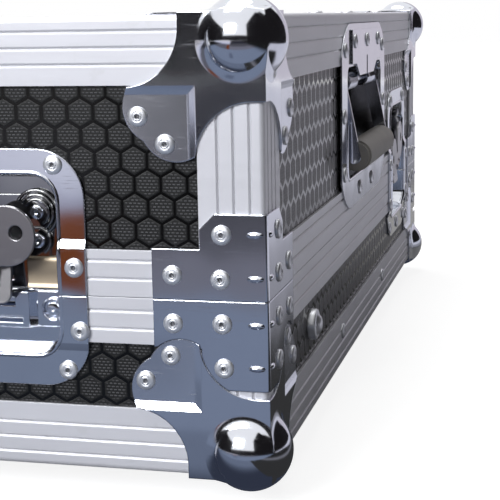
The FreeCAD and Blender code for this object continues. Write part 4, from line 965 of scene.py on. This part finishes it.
# Reflection cards: what the plates of the photographed case show of its surroundings
# Places on the floor are metres; the table card's bands are millimetres on the case's front face.

CARD_CLOUD_SCALE, CARD_SHADE_SHARE = 2.0, 0.8
CARD_EDGE_X, CARD_EDGE_Y = 0.44, -0.4
TABLE_PLACE = (-3.0, -4.2), (2.2, CARD_EDGE_Y)
UNDER_PLACE = (-1.0, CARD_EDGE_Y), (CARD_EDGE_X, 0.4)
BENCH_PLACE = (CARD_EDGE_X, CARD_EDGE_Y), (2.6, 3.4)
FRONT_WALL, FRONT_TOP = ((-3.2, -4.3), (2.6, -4.3)), 0.9
RIGHT_WALL, RIGHT_TOP = ((1.6, -3.4), (1.6, 1.8)), 2.6
LEFT_WALL, LEFT_TOP = ((-3.1, -4.2), (-3.1, 0.9)), 2.4
BACK_WALL, BACK_TOP = ((0.3, 3.5), (4.5, 3.5)), 2.2
SHOP_DARK = grey(0.012)
TABLE_BLUE = (0.20, 0.24, 0.33, 1.0)
TABLE_GREY, TABLE_BROWN = (0.125, 0.125, 0.15, 1.0), (0.17, 0.046, 0.012, 1.0)
BROWN_FROM = (296.0, 308.0)
WAVY_SCALE, WAVY_HIGH = 2.5, 24.0
LATCH_START = (97.0, 99.0)
LATCH_BANDS = (((132.0, 144.0), (0.36, 0.38, 0.50, 1.0)), ((142.0, 158.0), (0.68, 0.69, 0.80, 1.0)),
               ((172.0, 186.0), (0.70, 0.66, 0.67, 1.0)))
CORNER_FROM, CORNER_START, CORNER_GREY = (345.0, 358.0), (96.0, 101.0), (0.185, 0.185, 0.225, 1.0)
CORNER_BANDS = (((118.0, 128.0), (0.085, 0.085, 0.100, 1.0)), ((140.0, 156.0), (0.030, 0.030, 0.040, 1.0)))
BASE_TAB_X, BASE_TAB_LOW, BASE_TAB_HIGH = (391.0, 386.0), (54.0, 57.0), (86.0, 70.0)
LID_TAB_X, LID_TAB_LOW, LID_TAB_HIGH = (388.0, 378.0), (152.0, 166.0), (190.0, 180.0)
BASE_TAB_COLOUR, LID_TAB_COLOUR = (0.125, 0.150, 0.215, 1.0), (0.20, 0.20, 0.22, 1.0)
TABLE_END_LEFT, TABLE_END_FRONT, TABLE_END_RIGHT = (-0.55, -0.85), (-1.5, -1.2), (0.70, 0.95)
# Close to the case the bench card holds painted shade of the case.
BENCH_SHADE, BENCH_GREY, BENCH_GREY_FROM = grey(0.030), (0.32, 0.32, 0.36, 1.0), (0.490, 0.520)
BENCH_PALE, BENCH_PALE_FROM = (0.70, 0.70, 0.79, 1.0), (0.560, 0.620)
BENCH_BACK, BENCH_BACK_FROM, BENCH_BACK_OUT = grey(0.36, warm=0.02), (0.10, 0.55), (0.50, 0.49)
BENCH_FRONT, BENCH_FRONT_FROM, BENCH_FRONT_OUT = grey(0.015), (-0.04, -0.16), ((0.49, 0.56), (0.98, 0.86))
BENCH_CLOUD, BENCH_CLOUD_SCALE, BENCH_CLOUD_SHARE = grey(0.06), 3.0, 0.3
UNDER_LIGHT, UNDER_DARK, UNDER_SHADE = (0.15, 0.18, 0.25, 1.0), (0.035, 0.042, 0.065, 1.0), (-0.350, -0.312)


def card(name, corners, material):
    """A card that only reflections show."""
    plane = stage_plane(name, corners, material)
    plane.visible_camera = False
    plane.visible_diffuse = False
    plane.visible_shadow = False
    plane.visible_transmission = False


def glowing(graph, colour):
    """Gives a card its colour by light of its own, so that no lamp changes it."""
    graph.give("Emission Color", colour)
    graph.give("Emission Strength", 1.0)
    graph.give("Base Color", grey(0.0))
    graph.give("Specular IOR Level", 0.0)
    return graph.material


def card_stuff(name, colour):
    """A faintly clouded card."""
    graph = Graph(name, Roughness=1.0)
    shaded = [value * CARD_SHADE_SHARE for value in colour[:3]] + [1.0]
    return glowing(graph, graph.mix(graph.noise(CARD_CLOUD_SCALE), colour, shaded))


def table_stuff():
    """The dark shop before the case, as the front's plates show it.

    Its colours are laid out in millimetres, by the place on the front face that shows them to the camera.
    """
    graph = Graph("table_card", Roughness=1.0)
    axes = graph.axes()
    reach = graph.math("DIVIDE", CAMERA_BEFORE, graph.math("SUBTRACT", CAMERA_BEHIND, axes["y"]))
    face_x = graph.math("MULTIPLY_ADD", graph.math("SUBTRACT", axes["x"], CAMERA_AT[X]), reach, CAMERA_AT[X])
    face_z = graph.math("MULTIPLY", graph.math("SUBTRACT", 1.0, reach), CAMERA_AT[Z])
    lowered = graph.math("ADD", face_z, -WAVY_HIGH / 2 * MM)
    wavy = graph.math("MULTIPLY_ADD", graph.noise(WAVY_SCALE), WAVY_HIGH * MM, lowered)

    def share(value, ends):
        """0 to 1 between two ends in millimetres."""
        return graph.step(value, *(end * MM for end in ends))

    def banded(colour, bands):
        """Each band's colour takes over above its ends, with a wavy edge."""
        for ends, band in bands:
            colour = graph.mix(share(wavy, ends), colour, band)
        return colour

    def tab(height, low, high, x_ends):
        """1 where the card shows in a ball corner's lowered tab."""
        inside = graph.math("MULTIPLY", share(height, low), share(height, high))
        return graph.math("MULTIPLY", inside, share(face_x, x_ends))

    warm = graph.mix(share(face_x, BROWN_FROM), TABLE_GREY, TABLE_BROWN)
    latch = banded(graph.mix(share(face_z, LATCH_START), TABLE_BLUE, warm), LATCH_BANDS)
    corner = graph.mix(share(face_z, CORNER_START), TABLE_BLUE, CORNER_GREY)
    corner = graph.mix(tab(face_z, BASE_TAB_LOW, BASE_TAB_HIGH, BASE_TAB_X), corner, BASE_TAB_COLOUR)
    corner = banded(corner, CORNER_BANDS)
    corner = graph.mix(tab(wavy, LID_TAB_LOW, LID_TAB_HIGH, LID_TAB_X), corner, LID_TAB_COLOUR)
    colour = graph.mix(share(face_x, CORNER_FROM), latch, corner)
    left, right = graph.step(axes["x"], *TABLE_END_LEFT), graph.step(axes["x"], *TABLE_END_RIGHT)
    far_left = graph.math("MULTIPLY", left, graph.step(axes["y"], *TABLE_END_FRONT))
    aside = graph.math("MAXIMUM", far_left, right)
    return glowing(graph, graph.mix(aside, colour, SHOP_DARK))


def side_stuff():
    """The bench beside the case: painted shade of the case close to it and pale farther out, grey behind it and
    dark in front.
    """
    graph = Graph("bench_card", Roughness=1.0)
    axes = graph.axes()

    def patch(along, *across):
        """1 past the ends that are given for y and then, in a pair or more, for x."""
        share = graph.step(axes["y"], *along)
        for ends in across:
            share = graph.math("MULTIPLY", share, graph.step(axes["x"], *ends))
        return share

    colour = graph.mix(graph.step(axes["x"], *BENCH_GREY_FROM), BENCH_SHADE, BENCH_GREY)
    colour = graph.mix(graph.step(axes["x"], *BENCH_PALE_FROM), colour, BENCH_PALE)
    colour = graph.mix(patch(BENCH_BACK_FROM, BENCH_BACK_OUT), colour, BENCH_BACK)
    colour = graph.mix(patch(BENCH_FRONT_FROM, *BENCH_FRONT_OUT), colour, BENCH_FRONT)
    cloud = graph.math("MULTIPLY", graph.noise(BENCH_CLOUD_SCALE), BENCH_CLOUD_SHARE)
    return glowing(graph, graph.mix(cloud, colour, BENCH_CLOUD))


def under_stuff():
    """The table's edge, which darkens fast in the shade under the case."""
    graph = Graph("under_card", Roughness=1.0)
    shade = graph.step(graph.axes()["y"], *UNDER_SHADE)
    return glowing(graph, graph.mix(shade, UNDER_LIGHT, UNDER_DARK))


DARK_CARD = card_stuff("dark_card", (0.012, 0.011, 0.012, 1.0))
GREY_CARD = card_stuff("grey_card", (0.64, 0.605, 0.68, 1.0))
card("card_table", lying(*TABLE_PLACE, CARD_LIFT), table_stuff())
card("card_under", lying(*UNDER_PLACE, CARD_LIFT), under_stuff())
card("card_bench", lying(*BENCH_PLACE, CARD_LIFT), side_stuff())
card("card_front", standing(*FRONT_WALL, FRONT_TOP), DARK_CARD)
card("card_right", standing(*RIGHT_WALL, RIGHT_TOP), DARK_CARD)
card("card_left", standing(*LEFT_WALL, LEFT_TOP), DARK_CARD)
card("card_back", standing(*BACK_WALL, BACK_TOP), GREY_CARD)


# World, lamps and camera

def studio_world():
    """White behind everything that the camera or a reflection sees, and a weak fill light."""
    world = bpy.data.worlds.new("studio")
    tree = Nodes(world)
    background = tree.nodes.new("ShaderNodeBackground")
    tree.feed(background.inputs["Color"], grey(1.0))
    strength = tree.math("MULTIPLY_ADD", tree.shown(), 1.0 - WORLD_FILL, WORLD_FILL)
    tree.feed(background.inputs["Strength"], strength)
    output = tree.nodes.new("ShaderNodeOutputWorld")
    tree.feed(output.inputs["Surface"], background.outputs[0])
    return world


def lamp(name, place, target, size, power, colour):
    """A rectangular lamp that is turned towards a target."""
    data = bpy.data.lights.new(name, "AREA")
    data.shape = "RECTANGLE"
    data.size, data.size_y = size
    data.energy = power
    data.color = colour
    made = bpy.data.objects.new(name, data)
    scene.collection.objects.link(made)
    made.location = place
    made.rotation_mode = "QUATERNION"
    made.rotation_quaternion = (Vector(target) - Vector(place)).to_track_quat("-Z", "Y")


def photo_camera():
    """The camera at the photograph's place, angle and roll."""
    level = math.cos(ELEVATION)
    ahead = Vector((-math.sin(AZIMUTH) * level, math.cos(AZIMUTH) * level, -math.sin(ELEVATION)))
    right = Vector((math.cos(AZIMUTH), math.sin(AZIMUTH), 0))
    above = right.cross(ahead)
    rolled_right = right * math.cos(ROLL) + above * math.sin(ROLL)
    rolled_up = above * math.cos(ROLL) - right * math.sin(ROLL)
    made = bpy.data.objects.new("camera", bpy.data.cameras.new("camera"))
    scene.collection.objects.link(made)
    made.data.sensor_width = SENSOR
    made.data.lens = LENS
    made.data.clip_start = CLIP_START
    turn = Matrix((rolled_right, rolled_up, -ahead)).transposed()
    made.matrix_world = Matrix.Translation(CAMERA_AT) @ turn.to_4x4()
    return made


scene.world = studio_world()
lamp("key", place=(-0.9, -3.0, 1.7), target=(0, -0.2, 0.1), size=(1.6, 1.2), power=99.0, colour=COOL_LIGHT)
lamp("top", place=(-0.3, 0.1, 3.0), target=(0, 0, 0.1), size=(2.2, 1.8), power=66.0, colour=WHITE_LIGHT)
scene.camera = photo_camera()
scene.view_settings.view_transform = "Standard"
